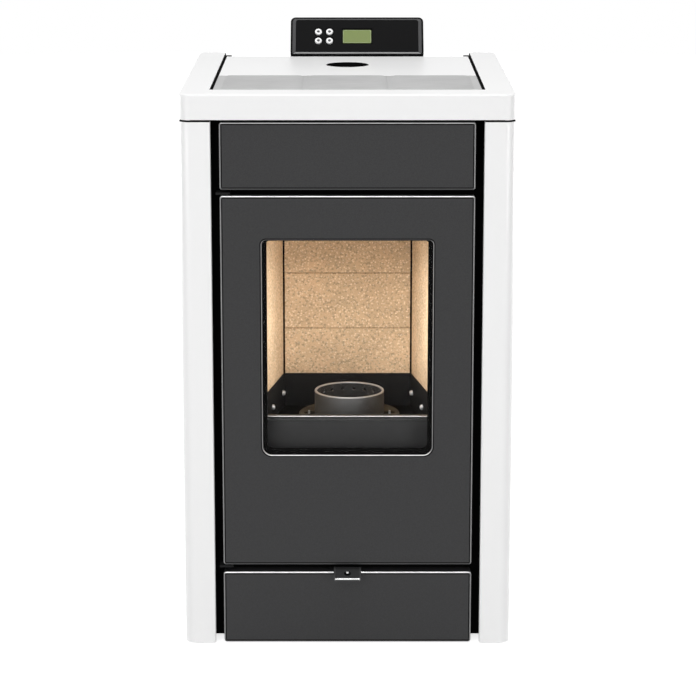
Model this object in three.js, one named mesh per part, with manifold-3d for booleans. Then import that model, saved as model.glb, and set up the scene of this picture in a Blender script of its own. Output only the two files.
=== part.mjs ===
// A small domestic pellet stove: enamelled steel body, dark front panels, glazed fire door,
// round burn pot, pellet hopper with an inclined auger, smoke fan and room-air fan.
// Millimetres. X is to the right seen from the front, Z is up. Inside the stove group, y is
// the depth behind the front plane of the two columns; the group itself is then centred.
import * as THREE from "three";
import { mergeVertices } from "three/addons/utils/BufferGeometryUtils.js";
import Module from "manifold-3d";

const wasm = await Module();
wasm.setup();

// ---------------------------------------------------------------- driving dimensions
const WIDTH = 480;
const TOP_DEPTH = 560; // the top frame, front to back
const TOP_Z = 816; // the enamelled top surface
const GAP = 0.3; // between neighbours that touch in the real stove

const HALF = WIDTH / 2;
const SHEET = 2.5; // body sheet
const TOP_SHEET = 3;
const LIP = 37; // height of the top frame's rim
const CORNER_R = 17; // vertical front corners of columns and top
const COLUMN_IN = 194.8; // half-distance between the two columns
const COLUMN_BOTTOM = 3;
const COLUMN_TOP = TOP_Z - LIP - 2;
const SIDE_REAR = 545;

const PANEL_X = 182.4; // half-width of the dark front panels
const PANEL_FRONT = 2; // their face, behind the columns' front plane
const PANEL_R = 3;
const UPPER_Z = [679, 776];
const DOOR_Z = [121.5, 670.5];
const LOWER_Z = [4, 110.5];
const DOOR_BACK = 20;

const FRAME_FRONT = 28; // the black front frame
const FRAME_BACK = 31;

const WINDOW_X = 123;
const WINDOW_Z = [288.5, 606];
const CLEAR_X = 116.3; // clear part of the glass
const CLEAR_Z = [295.5, 604.5];
const HINGE_X = -176; // door hinge axis
const HINGE_Y = 9;
const PIN_R = 3;

const FIRE_X = 152; // inside of the firebox shell
const FIRE_BACK = 275;
const FIRE_Z = [261, 649];
const STEEL = 3;
const LINING_BACK = 250; // front face of the back tiles
const LINING_HALF = 97; // half-width of the back wall
const SPLAY = 0.17; // sideways per depth of the side walls
const TRAY_FRONT = 43;
const TRAY_FLOOR = 300;
const TRAY_TOP = 353;
const BOARD = 16; // thickness of the refractory boards
const TILE_SEAMS = [337.7, 424, 510.3, 636];

const POT_X = 2.8; // centre of the burn pot
const POT_Y = 160;
const POT_R = 52.5;
const POT_BORE = 48;
const POT_TOP = 349;
const POT_BOTTOM = 286;
const FLANGE_R = 76;
const FLANGE_TOP = 313;
const FENDER_Z = [266, 339.5];

const OPENING_X = 197; // opening in the top
const BAR_REAR = 58; // back edge of the top's front bar
const GRILLE_Y = [60, 242];
const LID_Y = [243.5, 508];
const PLATE_X = 193.7;
const PLATE_Z = [TOP_Z - 4, TOP_Z - 1];
const FINGER_Y = 388;
const FINGER_R = 33;
const LID_AXIS = [480, TOP_Z - 14]; // depth and height of the lid's hinge axis

const RAIL_X = [188, 196.6];
const RAIL_TOP = PLATE_Z[0] - GAP;

const CONTROL_X = 15.4; // centre of the control panel
const CONTROL_HALF = 107;
const CONTROL_FOOT = [504, TOP_Z + 2]; // depth and height of its front lower edge
const CONTROL_LEAN = 38; // degrees back from upright
const CONTROL_LENGTH = 71.7; // up the sloping face
const CONTROL_BACK = 556.6;
const FACE_T = 2.5;
const BUTTON_R = 6.4;
const BUTTON_U = [-62.3, -44.4];
const BUTTON_V = [27, 43.9];
const LCD_HALF = 22.8;
const LCD_V = [23.2, 48];

const TAB_HALF = 20;
const TAB_OUT = 20; // how far the pull tab stands in front of the columns
const FLUE_END = 596; // depth of the flue collar's end
const FLUE = [-95, 172]; // centre of the flue, x and z
const FLUE_R = 40;
const INTAKE_Z = 281;
const INTAKE_R = 25;

const BACK_Y = [539.5, 542];
const BASE_Z = [7, 9.5];

const AUGER_FOOT = [445, 474]; // depth and height of the feed tube's lower end
const AUGER_HEAD = [329, 604];
const TUBE_R = 28;
const TUBE_BORE = 25;

// ---------------------------------------------------------------- solids
function solid(geometry) {
  const bare = geometry.index ? geometry.toNonIndexed() : geometry.clone();
  bare.deleteAttribute("normal");
  bare.deleteAttribute("uv");
  const merged = mergeVertices(bare, 1e-4);
  const vertProperties = merged.attributes.position.array;
  const triVerts = new Uint32Array(merged.index.array);
  const made = new wasm.Manifold(new wasm.Mesh({ numProp: 3, vertProperties, triVerts }));
  if (made.volume() > 0) return made;
  return new wasm.Manifold(
    new wasm.Mesh({ numProp: 3, vertProperties, triVerts: triVerts.reverse() }),
  );
}

const join = (first, ...rest) => rest.reduce((sum, one) => sum.add(one), first);
const cut = (first, ...tools) => tools.reduce((left, one) => left.subtract(one), first);

function block([x0, x1], [y0, y1], [z0, z1]) {
  const box = new THREE.BoxGeometry(x1 - x0, y1 - y0, z1 - z0);
  return solid(box.translate((x0 + x1) / 2, (y0 + y1) / 2, (z0 + z1) / 2));
}

// Turns a geometry that stands along its own y axis to lie along the named axis.
const turnTo = {
  x: (g) => g.rotateZ(-Math.PI / 2),
  y: (g) => g,
  z: (g) => g.rotateX(Math.PI / 2),
};

const onAxis = {
  x: (along, [a, b]) => [along, a, b],
  y: (along, [a, b]) => [a, along, b],
  z: (along, [a, b]) => [a, b, along],
};

function rod(axis, radius, [from, to], centre, sides = 24) {
  const bar = new THREE.CylinderGeometry(radius, radius, to - from, sides);
  return solid(turnTo[axis](bar).translate(...onAxis[axis]((from + to) / 2, centre)));
}

// A lathe profile of [radius, place along the axis] pairs.
function turned(axis, profile, centre, sides = 32) {
  const points = profile.map(([r, along]) => new THREE.Vector2(r, along));
  const shape = new THREE.LatheGeometry(points, sides);
  return solid(turnTo[axis](shape).translate(...onAxis[axis](0, centre)));
}

function tube(axis, outer, inner, [from, to], centre, sides = 32) {
  return cut(
    rod(axis, outer, [from, to], centre, sides),
    rod(axis, inner, [from - 1, to + 1], centre, sides),
  );
}

// A rectangle with its corners rounded, in the order low-left, low-right, top-right, top-left.
function roundedRect([a0, a1], [b0, b1], radii) {
  const [ll, lr, tr, tl] = Array.isArray(radii) ? radii : [radii, radii, radii, radii];
  const shape = new THREE.Shape();
  shape.absarc(a0 + ll, b0 + ll, ll, Math.PI, 1.5 * Math.PI);
  shape.absarc(a1 - lr, b0 + lr, lr, 1.5 * Math.PI, 2 * Math.PI);
  shape.absarc(a1 - tr, b1 - tr, tr, 0, 0.5 * Math.PI);
  shape.absarc(a0 + tl, b1 - tl, tl, 0.5 * Math.PI, Math.PI);
  return shape;
}

const polygon = (points) => new THREE.Shape(points.map(([a, b]) => new THREE.Vector2(a, b)));

// Extrudes a shape. Its plane is (y, z) for axis x, (x, z) for axis y and (x, y) for axis z.
function prism(shape, axis, [from, to], curveSegments = 4) {
  const depth = to - from;
  const body = new THREE.ExtrudeGeometry(shape, { depth, bevelEnabled: false, curveSegments });
  const lay = new THREE.Matrix4();
  if (axis === "x") lay.set(0, 0, 1, from, 1, 0, 0, 0, 0, 1, 0, 0, 0, 0, 0, 1);
  if (axis === "y") lay.set(1, 0, 0, 0, 0, 0, -1, to, 0, 1, 0, 0, 0, 0, 0, 1);
  if (axis === "z") lay.makeTranslation(0, 0, from);
  return solid(body.applyMatrix4(lay));
}

// A block whose top and bottom rectangles differ, each given as [x pair, y pair].
function taper([bx, by], [tx, ty], [z0, z1]) {
  const corners = [];
  for (const [[x0, x1], [y0, y1], z] of [[bx, by, z0], [tx, ty, z1]]) {
    corners.push(x0, y0, z, x1, y0, z, x1, y1, z, x0, y1, z);
  }
  const shape = new THREE.BufferGeometry();
  shape.setAttribute("position", new THREE.Float32BufferAttribute(corners, 3));
  const faces = [0, 2, 1, 0, 3, 2, 4, 5, 6, 4, 6, 7];
  for (let i = 0; i < 4; i++) {
    const j = (i + 1) % 4;
    faces.push(i, j, j + 4, i, j + 4, i + 4);
  }
  shape.setIndex(faces);
  return solid(shape);
}

// A folded sheet: a face towards the front and a rim that runs back from its edge.
function pan([x0, x1], [z0, z1], [front, back], sheet, radius) {
  const outline = roundedRect([x0, x1], [z0, z1], radius);
  const inside = [[x0 + sheet, x1 - sheet], [z0 + sheet, z1 - sheet]];
  return cut(prism(outline, "y", [front, back]), block(inside[0], [front + sheet, back + 1], inside[1]));
}

function ring(outerShape, innerShape, [from, to]) {
  return cut(prism(outerShape, "y", [from, to]), prism(innerShape, "y", [from - 1, to + 1]));
}

const both = (half) => [-half, half];
const side = (sign, [inner, outer]) => (sign > 0 ? [inner, outer] : [-outer, -inner]);

// ---------------------------------------------------------------- materials
const finish = (color, roughness, metalness) =>
  new THREE.MeshStandardMaterial({ color, roughness, metalness });
const MATERIALS = {
  enamel: () => finish(0xf2f2f2, 0.25, 0),
  frontSteel: () => finish(0x404142, 0.5, 0.2),
  blackSteel: () => finish(0x17181a, 0.6, 0.2),
  grille: () => finish(0xc4c6c8, 0.4, 0.6),
  zinc: () => finish(0xb4b7ba, 0.4, 0.9),
  iron: () => finish(0x4c4d4f, 0.6, 0.5),
  olive: () => finish(0x66655a, 0.55, 0.4),
  vermiculite: () => finish(0xcfae84, 0.95, 0),
  glass: () => finish(0xdfe6e8, 0.05, 0),
  rope: () => finish(0x3a3a38, 0.95, 0),
  rubber: () => finish(0x202020, 0.85, 0),
  plastic: () => finish(0x18191b, 0.3, 0),
  ring: () => finish(0xe8e8e8, 0.4, 0),
  lcd: () => finish(0x8c9b64, 0.2, 0),
  board: () => finish(0x1f5a34, 0.6, 0),
  motor: () => finish(0x8f9296, 0.4, 0.8),
};

const stove = new THREE.Group();
stove.position.y = (TAB_OUT - FLUE_END) / 2;

function piece(name, material, shape, parent = stove) {
  const { numProp, vertProperties, triVerts } = shape.getMesh();
  const geometry = new THREE.BufferGeometry();
  if (numProp !== 3) throw new Error(name + " carries more than positions");
  geometry.setAttribute("position", new THREE.BufferAttribute(vertProperties, 3));
  geometry.setIndex(new THREE.BufferAttribute(triVerts, 1));
  const mesh = new THREE.Mesh(geometry.toNonIndexed(), MATERIALS[material]());
  mesh.geometry.computeVertexNormals();
  mesh.name = name;
  parent.add(mesh);
  return mesh;
}

// ---------------------------------------------------------------- base and feet
const FOOT_X = 205;
const FOOT_Y = [75, 500];
const STUD_R = 4;
const RUNNER_X = 120; // rails on the base that the ash pan slides on

function makeBase() {
  const edge = [HALF - SHEET - GAP, FRAME_BACK + GAP, BACK_Y[0] - GAP];
  const floor = block(both(edge[0]), [edge[1], edge[2]], BASE_Z);
  const flange = [BASE_Z[0], BASE_Z[0] + 18];
  const parts = [floor];
  for (const sign of [-1, 1]) {
    parts.push(block(side(sign, [edge[0] - SHEET, edge[0]]), [edge[1], edge[2]], flange));
    parts.push(block(side(sign, [RUNNER_X - 8, RUNNER_X + 8]), [40, 330], [BASE_Z[0], 13.7]));
  }
  const holes = [];
  for (const x of both(FOOT_X)) {
    for (const y of FOOT_Y) holes.push(rod("z", STUD_R + GAP, [0, 20], [x, y], 16));
  }
  piece("base_plate", "blackSteel", cut(join(...parts), ...holes));
}

function makeFeet() {
  const profile = [[0, 0], [18, 0], [20, 2], [20, 4.5], [16, 6.7], [STUD_R, 6.7], [STUD_R, 24], [0, 24]];
  let count = 1;
  for (const x of both(FOOT_X)) {
    for (const y of FOOT_Y) piece("foot_" + count++, "rubber", turned("z", profile, [x, y], 16));
  }
}

// ---------------------------------------------------------------- white body
// One side panel, drawn for the right: hem, column face, rounded corner, side, rear return.
function makeSide(name, sign) {
  const r = CORNER_R;
  const t = SHEET;
  const shape = new THREE.Shape();
  shape.moveTo(COLUMN_IN, 14);
  shape.lineTo(COLUMN_IN, 2);
  shape.lineTo(COLUMN_IN + 0.6, 0.6);
  shape.lineTo(COLUMN_IN + 2, 0);
  shape.absarc(HALF - r, r, r, 1.5 * Math.PI, 2 * Math.PI);
  shape.lineTo(HALF, SIDE_REAR);
  shape.lineTo(HALF - 12, SIDE_REAR);
  shape.lineTo(HALF - 12, SIDE_REAR - t);
  shape.lineTo(HALF - t, SIDE_REAR - t);
  shape.absarc(HALF - r, r, r - t, 2 * Math.PI, 1.5 * Math.PI, true);
  shape.lineTo(COLUMN_IN + t, t);
  shape.lineTo(COLUMN_IN + t, 14);
  const mesh = piece(name, "enamel", prism(shape, "z", [COLUMN_BOTTOM, COLUMN_TOP], 8));
  if (sign < 0) mesh.geometry.applyMatrix4(new THREE.Matrix4().makeScale(-1, 1, 1));
  if (sign < 0) flip(mesh.geometry);
}

// Turns every triangle round, after a mirror.
function flip(geometry) {
  const p = geometry.attributes.position.array;
  for (let i = 0; i < p.length; i += 9) {
    for (let k = 0; k < 3; k++) [p[i + 3 + k], p[i + 6 + k]] = [p[i + 6 + k], p[i + 3 + k]];
  }
  geometry.computeVertexNormals();
}

function makeTopFrame() {
  const t = TOP_SHEET;
  const rearLip = TOP_Z - 17;
  const outer = roundedRect(both(HALF), [0, TOP_DEPTH], [CORNER_R, CORNER_R, 10, 10]);
  const inner = roundedRect(both(HALF - t), [t, TOP_DEPTH - t], [CORNER_R - t, CORNER_R - t, 7, 7]);
  const body = cut(
    prism(outer, "z", [TOP_Z - LIP, TOP_Z], 8),
    prism(inner, "z", [TOP_Z - LIP - 1, TOP_Z - t], 8),
    block(both(OPENING_X), [BAR_REAR, TOP_DEPTH + 1], [rearLip, TOP_Z + 1]),
  );
  const hems = [block(both(OPENING_X + t), [BAR_REAR - t, BAR_REAR], [rearLip, TOP_Z - 1])];
  for (const sign of [-1, 1]) {
    const x = side(sign, [OPENING_X, OPENING_X + t]);
    hems.push(block(x, [BAR_REAR - t, TOP_DEPTH - 1], [rearLip, TOP_Z - 1]));
  }
  piece("top_frame", "enamel", join(body, ...hems));
}

function makeGrille() {
  const plate = block(both(PLATE_X), GRILLE_Y, PLATE_Z);
  const slots = [];
  const rows = 11;
  const pitch = (GRILLE_Y[1] - GRILLE_Y[0]) / (rows + 1);
  for (let row = 1; row <= rows; row++) {
    const y = GRILLE_Y[0] + row * pitch;
    for (const x of [-122, 0, 122]) {
      slots.push(block([x - 54, x + 54], [y - 3, y + 3], [PLATE_Z[0] - 1, PLATE_Z[1] + 1]));
    }
  }
  piece("top_grille", "grille", cut(plate, ...slots));
}

function makeLid() {
  const [axisY, axisZ] = LID_AXIS;
  const plate = block(both(PLATE_X), LID_Y, PLATE_Z);
  const skirt = [PLATE_Z[0] - 8, PLATE_Z[0] + 1];
  const parts = [plate, block(both(186), [252, 254.5], skirt)];
  for (const sign of [-1, 1]) {
    parts.push(block(side(sign, [184.5, 187]), [252, 450], skirt));
    const ear = block(side(sign, [178.5, 181.5]), [axisY - 9, axisY + 9], [axisZ - 8, PLATE_Z[0] + 1]);
    parts.push(ear);
  }
  const finger = rod("z", FINGER_R, [780, 830], [0, FINGER_Y], 40);
  const eyes = rod("x", PIN_R + GAP, both(183), LID_AXIS, 16);
  piece("hopper_lid", "enamel", cut(join(...parts), finger, eyes));
}

function makeCradle() {
  const rail = [RAIL_TOP - 3, RAIL_TOP];
  const web = [COLUMN_TOP, RAIL_TOP];
  const [front, rear] = [BAR_REAR + GAP, CONTROL_BACK];
  const shelf = [CONTROL_FOOT[1] - 17 - 3.3, CONTROL_FOOT[1] - 17 - GAP];
  const parts = [block(both(RAIL_X[0] + 2), [514, rear], shelf)];
  for (const sign of [-1, 1]) {
    parts.push(block(side(sign, RAIL_X), [front, rear], rail));
    parts.push(block(side(sign, [RAIL_X[0], RAIL_X[0] + 2.5]), [front, rear], web));
  }
  parts.push(block(both(RAIL_X[0] + 2), [front, front + 10], rail));
  parts.push(block(both(RAIL_X[0] + 2), [GRILLE_Y[1] - 6, GRILLE_Y[1] + 7], rail));
  // The lid's rear edge swings down between the rails, which are only a thin web there. The
  // studs in the webs are what the lid's ears turn on.
  const tail = [446, 512];
  const thin = [PLATE_X + 0.7, RAIL_X[1]];
  const pockets = [];
  const studs = [];
  for (const sign of [-1, 1]) {
    pockets.push(block(side(sign, [RAIL_X[0] - 1, thin[0]]), tail, [COLUMN_TOP - 1, RAIL_TOP + 1]));
    parts.push(block(side(sign, thin), [tail[0] - 6, tail[1] + 4], web));
    studs.push(rod("x", PIN_R, side(sign, [176, thin[0] + 1]), LID_AXIS, 16));
  }
  piece("top_cradle", "blackSteel", join(cut(join(...parts), ...pockets), ...studs));
}

// ---------------------------------------------------------------- back
const LOUVRE_X = [20, 200];
const LOUVRE_Z = [48, 108];
const SOCKET_X = [-212, -160];
const SOCKET_Z = [44, 76];

function makeBack() {
  const plate = block(both(HALF - SHEET - GAP), BACK_Y, [BASE_Z[1] + 1, COLUMN_TOP - 1]);
  const through = [BACK_Y[0] - 1, BACK_Y[1] + 1];
  const tools = [
    rod("y", FLUE_R + 3, through, FLUE, 40),
    rod("y", INTAKE_R + 1, through, [0, INTAKE_Z], 32),
    block(SOCKET_X, through, SOCKET_Z),
  ];
  for (let z = LOUVRE_Z[0]; z <= LOUVRE_Z[1]; z += 12) tools.push(block(LOUVRE_X, through, [z, z + 5]));
  for (let z = 640; z <= 730; z += 18) tools.push(block([-120, 120], through, [z, z + 6]));
  piece("back_panel", "blackSteel", cut(plate, ...tools));
}

function makePowerInlet() {
  const [x0, x1] = SOCKET_X;
  const [z0, z1] = SOCKET_Z;
  const body = block([x0 + GAP, x1 - GAP], [520, BACK_Y[1] + 1.5], [z0 + GAP, z1 - GAP]);
  const flange = block([x0 - 4, x1 + 4], [BACK_Y[1] + GAP, BACK_Y[1] + 2.3], [z0 - 4, z1 + 4]);
  const socket = block([x0 + 4, x0 + 30], [526, BACK_Y[1] + 4], [z0 + 7, z1 - 7]);
  const pocket = block([x1 - 17, x1 - 3], [528, BACK_Y[1] + 4], [z0 + 4, z1 - 4]);
  piece("power_inlet", "plastic", cut(join(body, flange), socket, pocket));
  const rocker = polygon([
    [534, z0 + 6.5], [BACK_Y[1] + 4.2, z0 + 6.5], [BACK_Y[1] + 2.6, (z0 + z1) / 2],
    [BACK_Y[1] + 2.6, z1 - 6.5], [534, z1 - 6.5],
  ]);
  piece("power_switch", "plastic", prism(rocker, "x", [x1 - 16, x1 - 4]));
}

// ---------------------------------------------------------------- front
const CATCH_X = 168;
const CATCH_Z = [386, 410];

function makeFrontFrame() {
  const plate = block(both(HALF - SHEET - GAP), [FRAME_FRONT, FRAME_BACK], [6, COLUMN_TOP - 1]);
  const through = [FRAME_FRONT - 1, FRAME_BACK + 1];
  const fire = prism(roundedRect(both(138), [263, 638], 8), "y", through);
  const drawer = block(both(172), through, [11, 104]);
  const slot = block([CATCH_X - 6, CATCH_X + 8], through, CATCH_Z);
  piece("front_frame", "blackSteel", cut(plate, fire, drawer, slot));
}

function makeUpperPanel() {
  const depth = [PANEL_FRONT, FRAME_FRONT - GAP];
  piece("upper_panel", "frontSteel", pan(both(PANEL_X), UPPER_Z, depth, SHEET, PANEL_R));
}

function makeDoor() {
  const opening = roundedRect(both(WINDOW_X), WINDOW_Z, [13, 13, 6, 6]);
  const face = pan(both(PANEL_X), DOOR_Z, [PANEL_FRONT, DOOR_BACK], SHEET, PANEL_R);
  const eyes = rod("z", PIN_R + 0.5, [100, 700], [HINGE_X, HINGE_Y], 16);
  piece("door_panel", "frontSteel", cut(face, prism(opening, "y", [0, 6], 8), eyes));

  const glass = roundedRect(both(WINDOW_X + 7), [WINDOW_Z[0] - 7, WINDOW_Z[1] + 7], 4);
  piece("door_glass", "glass", prism(glass, "y", [4.8, 8.8]));

  const frame = roundedRect(both(WINDOW_X + 12), [WINDOW_Z[0] - 12, WINDOW_Z[1] + 12], 6);
  const clear = roundedRect(both(CLEAR_X), CLEAR_Z, [9, 9, 4, 4]);
  piece("glass_retainer", "blackSteel", ring(frame, clear, [9.1, 16.7]));

  const lining = [DOOR_Z[0] + SHEET + 0.4, DOOR_Z[1] - SHEET - 0.4];
  const liner = ring(roundedRect(both(PANEL_X - SHEET - 0.4), lining, 2), clear, [17, 19.5]);
  const tongue = block([CATCH_X - 1.5, CATCH_X + 1.5], [19, 46], [CATCH_Z[0] + 3, CATCH_Z[1] - 3]);
  piece("door_liner", "blackSteel", join(liner, tongue));

  const rope = roundedRect(both(152), [249, 652], 14);
  const ropeBore = roundedRect(both(141), [260, 641], 8);
  piece("door_gasket", "rope", ring(rope, ropeBore, [19.8, FRAME_FRONT - GAP]));
}

function makeHinges() {
  const clearance = 1.5;
  const armT = 3;
  const pinLength = 14;
  const arm = (z) => block([HINGE_X - 12, HINGE_X + 8], [3.5, FRAME_FRONT - GAP], z);
  const pin = (z) => rod("z", PIN_R, z, [HINGE_X, HINGE_Y], 16);
  const over = DOOR_Z[1] + clearance;
  const under = DOOR_Z[0] - clearance;
  const upper = join(arm([over, over + armT]), pin([DOOR_Z[1] - pinLength, over + 0.5]));
  const lower = join(arm([under - armT, under]), pin([under - 0.5, DOOR_Z[0] + pinLength]));
  piece("door_hinge_upper", "blackSteel", upper);
  piece("door_hinge_lower", "blackSteel", lower);
}

// A fork behind the front frame that the door's tongue enters.
function makeCatch() {
  const z = [CATCH_Z[0] - 4, CATCH_Z[1] + 4];
  const body = block([CATCH_X - 9, CATCH_X + 12], [FRAME_BACK + GAP, 56], z);
  const slot = block([CATCH_X - 5, CATCH_X + 8], [0, 50], [z[0] - 1, z[1] + 1]);
  piece("door_catch", "zinc", cut(body, slot));
}

// ---------------------------------------------------------------- ash drawer
const ASH_X = 160;
const ASH_Y = [FRAME_FRONT - GAP, 330];
const ASH_Z = [14, 96];
const TAB_SCREW_Y = -5;
const TAB_REAR = 9;
const TAB_SHEET = 2.66;
const TAB_SLOPE = 0.364; // how fast the pull tab falls towards its front edge

// A plate that rests on the drawer front's top edge and slopes down towards the hand.
function makeTab() {
  const rest = LOWER_Z[1] + GAP;
  const under = (y) => rest + (y - PANEL_FRONT) * TAB_SLOPE;
  const slope = polygon([
    [-TAB_OUT, under(-TAB_OUT)], [PANEL_FRONT, rest], [TAB_REAR, rest],
    [TAB_REAR, under(TAB_REAR) + TAB_SHEET], [-TAB_OUT, under(-TAB_OUT) + TAB_SHEET],
  ]);
  const outline = roundedRect(both(TAB_HALF), [-TAB_OUT, TAB_REAR], [5, 5, 1, 1]);
  const plate = prism(outline, "z", [rest - 12, rest + 12], 6).intersect(prism(slope, "x", both(TAB_HALF)));
  const through = [rest - 14, rest + 14];
  piece("drawer_tab", "blackSteel", cut(plate, rod("z", 2.5, through, [0, TAB_SCREW_Y], 16)));

  const shankR = 2;
  const headR = 4;
  const nutR = 4.5;
  const head = under(TAB_SCREW_Y + headR) + TAB_SHEET + GAP;
  const nut = under(TAB_SCREW_Y - nutR) - GAP;
  const profile = [
    [0, nut - 3], [nutR, nut - 3], [nutR, nut], [shankR, nut],
    [shankR, head], [headR, head], [headR - 0.7, head + 1.8], [0, head + 2.2],
  ];
  piece("tab_screw", "zinc", turned("z", profile, [0, TAB_SCREW_Y], 16));
}

function makeDrawer() {
  const depth = [PANEL_FRONT, FRAME_FRONT - 2 * GAP];
  piece("drawer_front", "frontSteel", pan(both(PANEL_X), LOWER_Z, depth, SHEET, PANEL_R));
  const inner = block(both(ASH_X - 2), [ASH_Y[0] + 2, ASH_Y[1] - 2], [ASH_Z[0] + 2, ASH_Z[1] + 1]);
  piece("ash_pan", "zinc", cut(block(both(ASH_X), ASH_Y, ASH_Z), inner));
  makeTab();
}

// ---------------------------------------------------------------- firebox
const wallX = (y) => LINING_HALF + (LINING_BACK - y) * SPLAY;
const CHUTE_X = 32;
const ASH_SLOT = [[-60, 60], [55, 90]]; // ash falls through here into the pan
const CHUTE_Z = [564, 614];
const IGNITER_X = 34;

function makeFirebox() {
  const grow = ([a, b], by) => [a - by, b + by];
  const depth = [FRAME_BACK + GAP, FIRE_BACK + STEEL];
  const outer = block(both(FIRE_X + STEEL), depth, grow(FIRE_Z, STEEL));
  const inner = block(both(FIRE_X), [FRAME_BACK - 1, FIRE_BACK], FIRE_Z);
  const through = [FIRE_BACK - 1, FIRE_BACK + STEEL + 1];
  const intake = rod("y", 19, through, [0, INTAKE_Z], 24);
  const smoke = block([-140, -80], through, [264, 294]);
  const igniter = rod("y", 6, through, [IGNITER_X, INTAKE_Z], 16);
  // The spout joins the feed tube's mouth to the firebox.
  const [low, high] = CHUTE_Z;
  const end = 303;
  const spout = block(both(30), [FIRE_BACK + 1, end], [low + 1, high - 1]);
  const spoutBore = block(both(28), [FIRE_BACK - 1, end + 1], [low + 3, high - 3]);
  const floor = FIRE_Z[0] - STEEL;
  const ashHole = block(...ASH_SLOT, [floor - 1, FIRE_Z[0] + 1]);
  const shell = cut(join(outer, spout), inner, intake, smoke, igniter, spoutBore, ashHole);
  piece("firebox_shell", "blackSteel", shell);

  // Ash falls through this duct from the firebox floor into the pan.
  const ductZ = [ASH_Z[1] + 4, floor - GAP];
  const duct = block(grow(ASH_SLOT[0], 2.5), grow(ASH_SLOT[1], 2.5), ductZ);
  piece("ash_duct", "blackSteel", cut(duct, block(...ASH_SLOT, grow(ductZ, 1))));
}

function makeLining() {
  const y = [LINING_BACK + 2.5, LINING_BACK + 2.5 + BOARD];
  for (let i = 0; i < 3; i++) {
    const tile = block(both(LINING_HALF + 20), y, [TILE_SEAMS[i], TILE_SEAMS[i + 1] - GAP]);
    const hole = block(both(CHUTE_X), [y[0] - 1, y[1] + 1], CHUTE_Z);
    piece("back_tile_" + (i + 1), "vermiculite", i === 2 ? cut(tile, hole) : tile);
  }
  const inX = (y) => wallX(y) + 2.4;
  const [near, far] = [TRAY_FRONT, y[0] - GAP];
  const outline = [[inX(near), near], [inX(far), far], [inX(far) + BOARD, far], [inX(near) + BOARD, near]];
  for (const [name, sign] of [["side_board_left", -1], ["side_board_right", 1]]) {
    const shape = polygon(outline.map(([x, depth]) => [sign * x, depth]));
    piece(name, "vermiculite", prism(shape, "z", [TRAY_FLOOR, TILE_SEAMS[3]]));
  }
  const baffle = polygon([[50, 622], [215, 590], [218, 604], [53, 636]]);
  piece("baffle", "vermiculite", prism(baffle, "x", both(103)));
}

function makeTray() {
  const t = 1.8;
  const [near, far] = [TRAY_FRONT, LINING_BACK];
  const outline = (grow, back, front) => polygon([
    [-(wallX(back) + grow), back], [wallX(back) + grow, back],
    [wallX(front) + grow, front], [-(wallX(front) + grow), front],
  ]);
  const outer = prism(outline(t, far + t, near), "z", [TRAY_FLOOR, TRAY_TOP]);
  const inner = prism(outline(0, far, near - 1), "z", [TRAY_FLOOR + t, TRAY_TOP + 1]);
  const mouth = rod("z", FLANGE_R - 8, [TRAY_FLOOR - 1, TRAY_FLOOR + 5], [POT_X, POT_Y], 40);
  const slot = block(...ASH_SLOT, [TRAY_FLOOR - 1, TRAY_FLOOR + 5]);
  piece("fire_tray", "blackSteel", cut(outer, inner, mouth, slot));
  piece("fender", "blackSteel", block(both(136), [34, 36.5], FENDER_Z));
}

// Air holes in the rear of the pot's wall, in degrees round from the right.
const WALL_HOLE_ANGLES = [42, 62, 82, 102, 122, 142];
const WALL_HOLE_R = 2.6;

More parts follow.
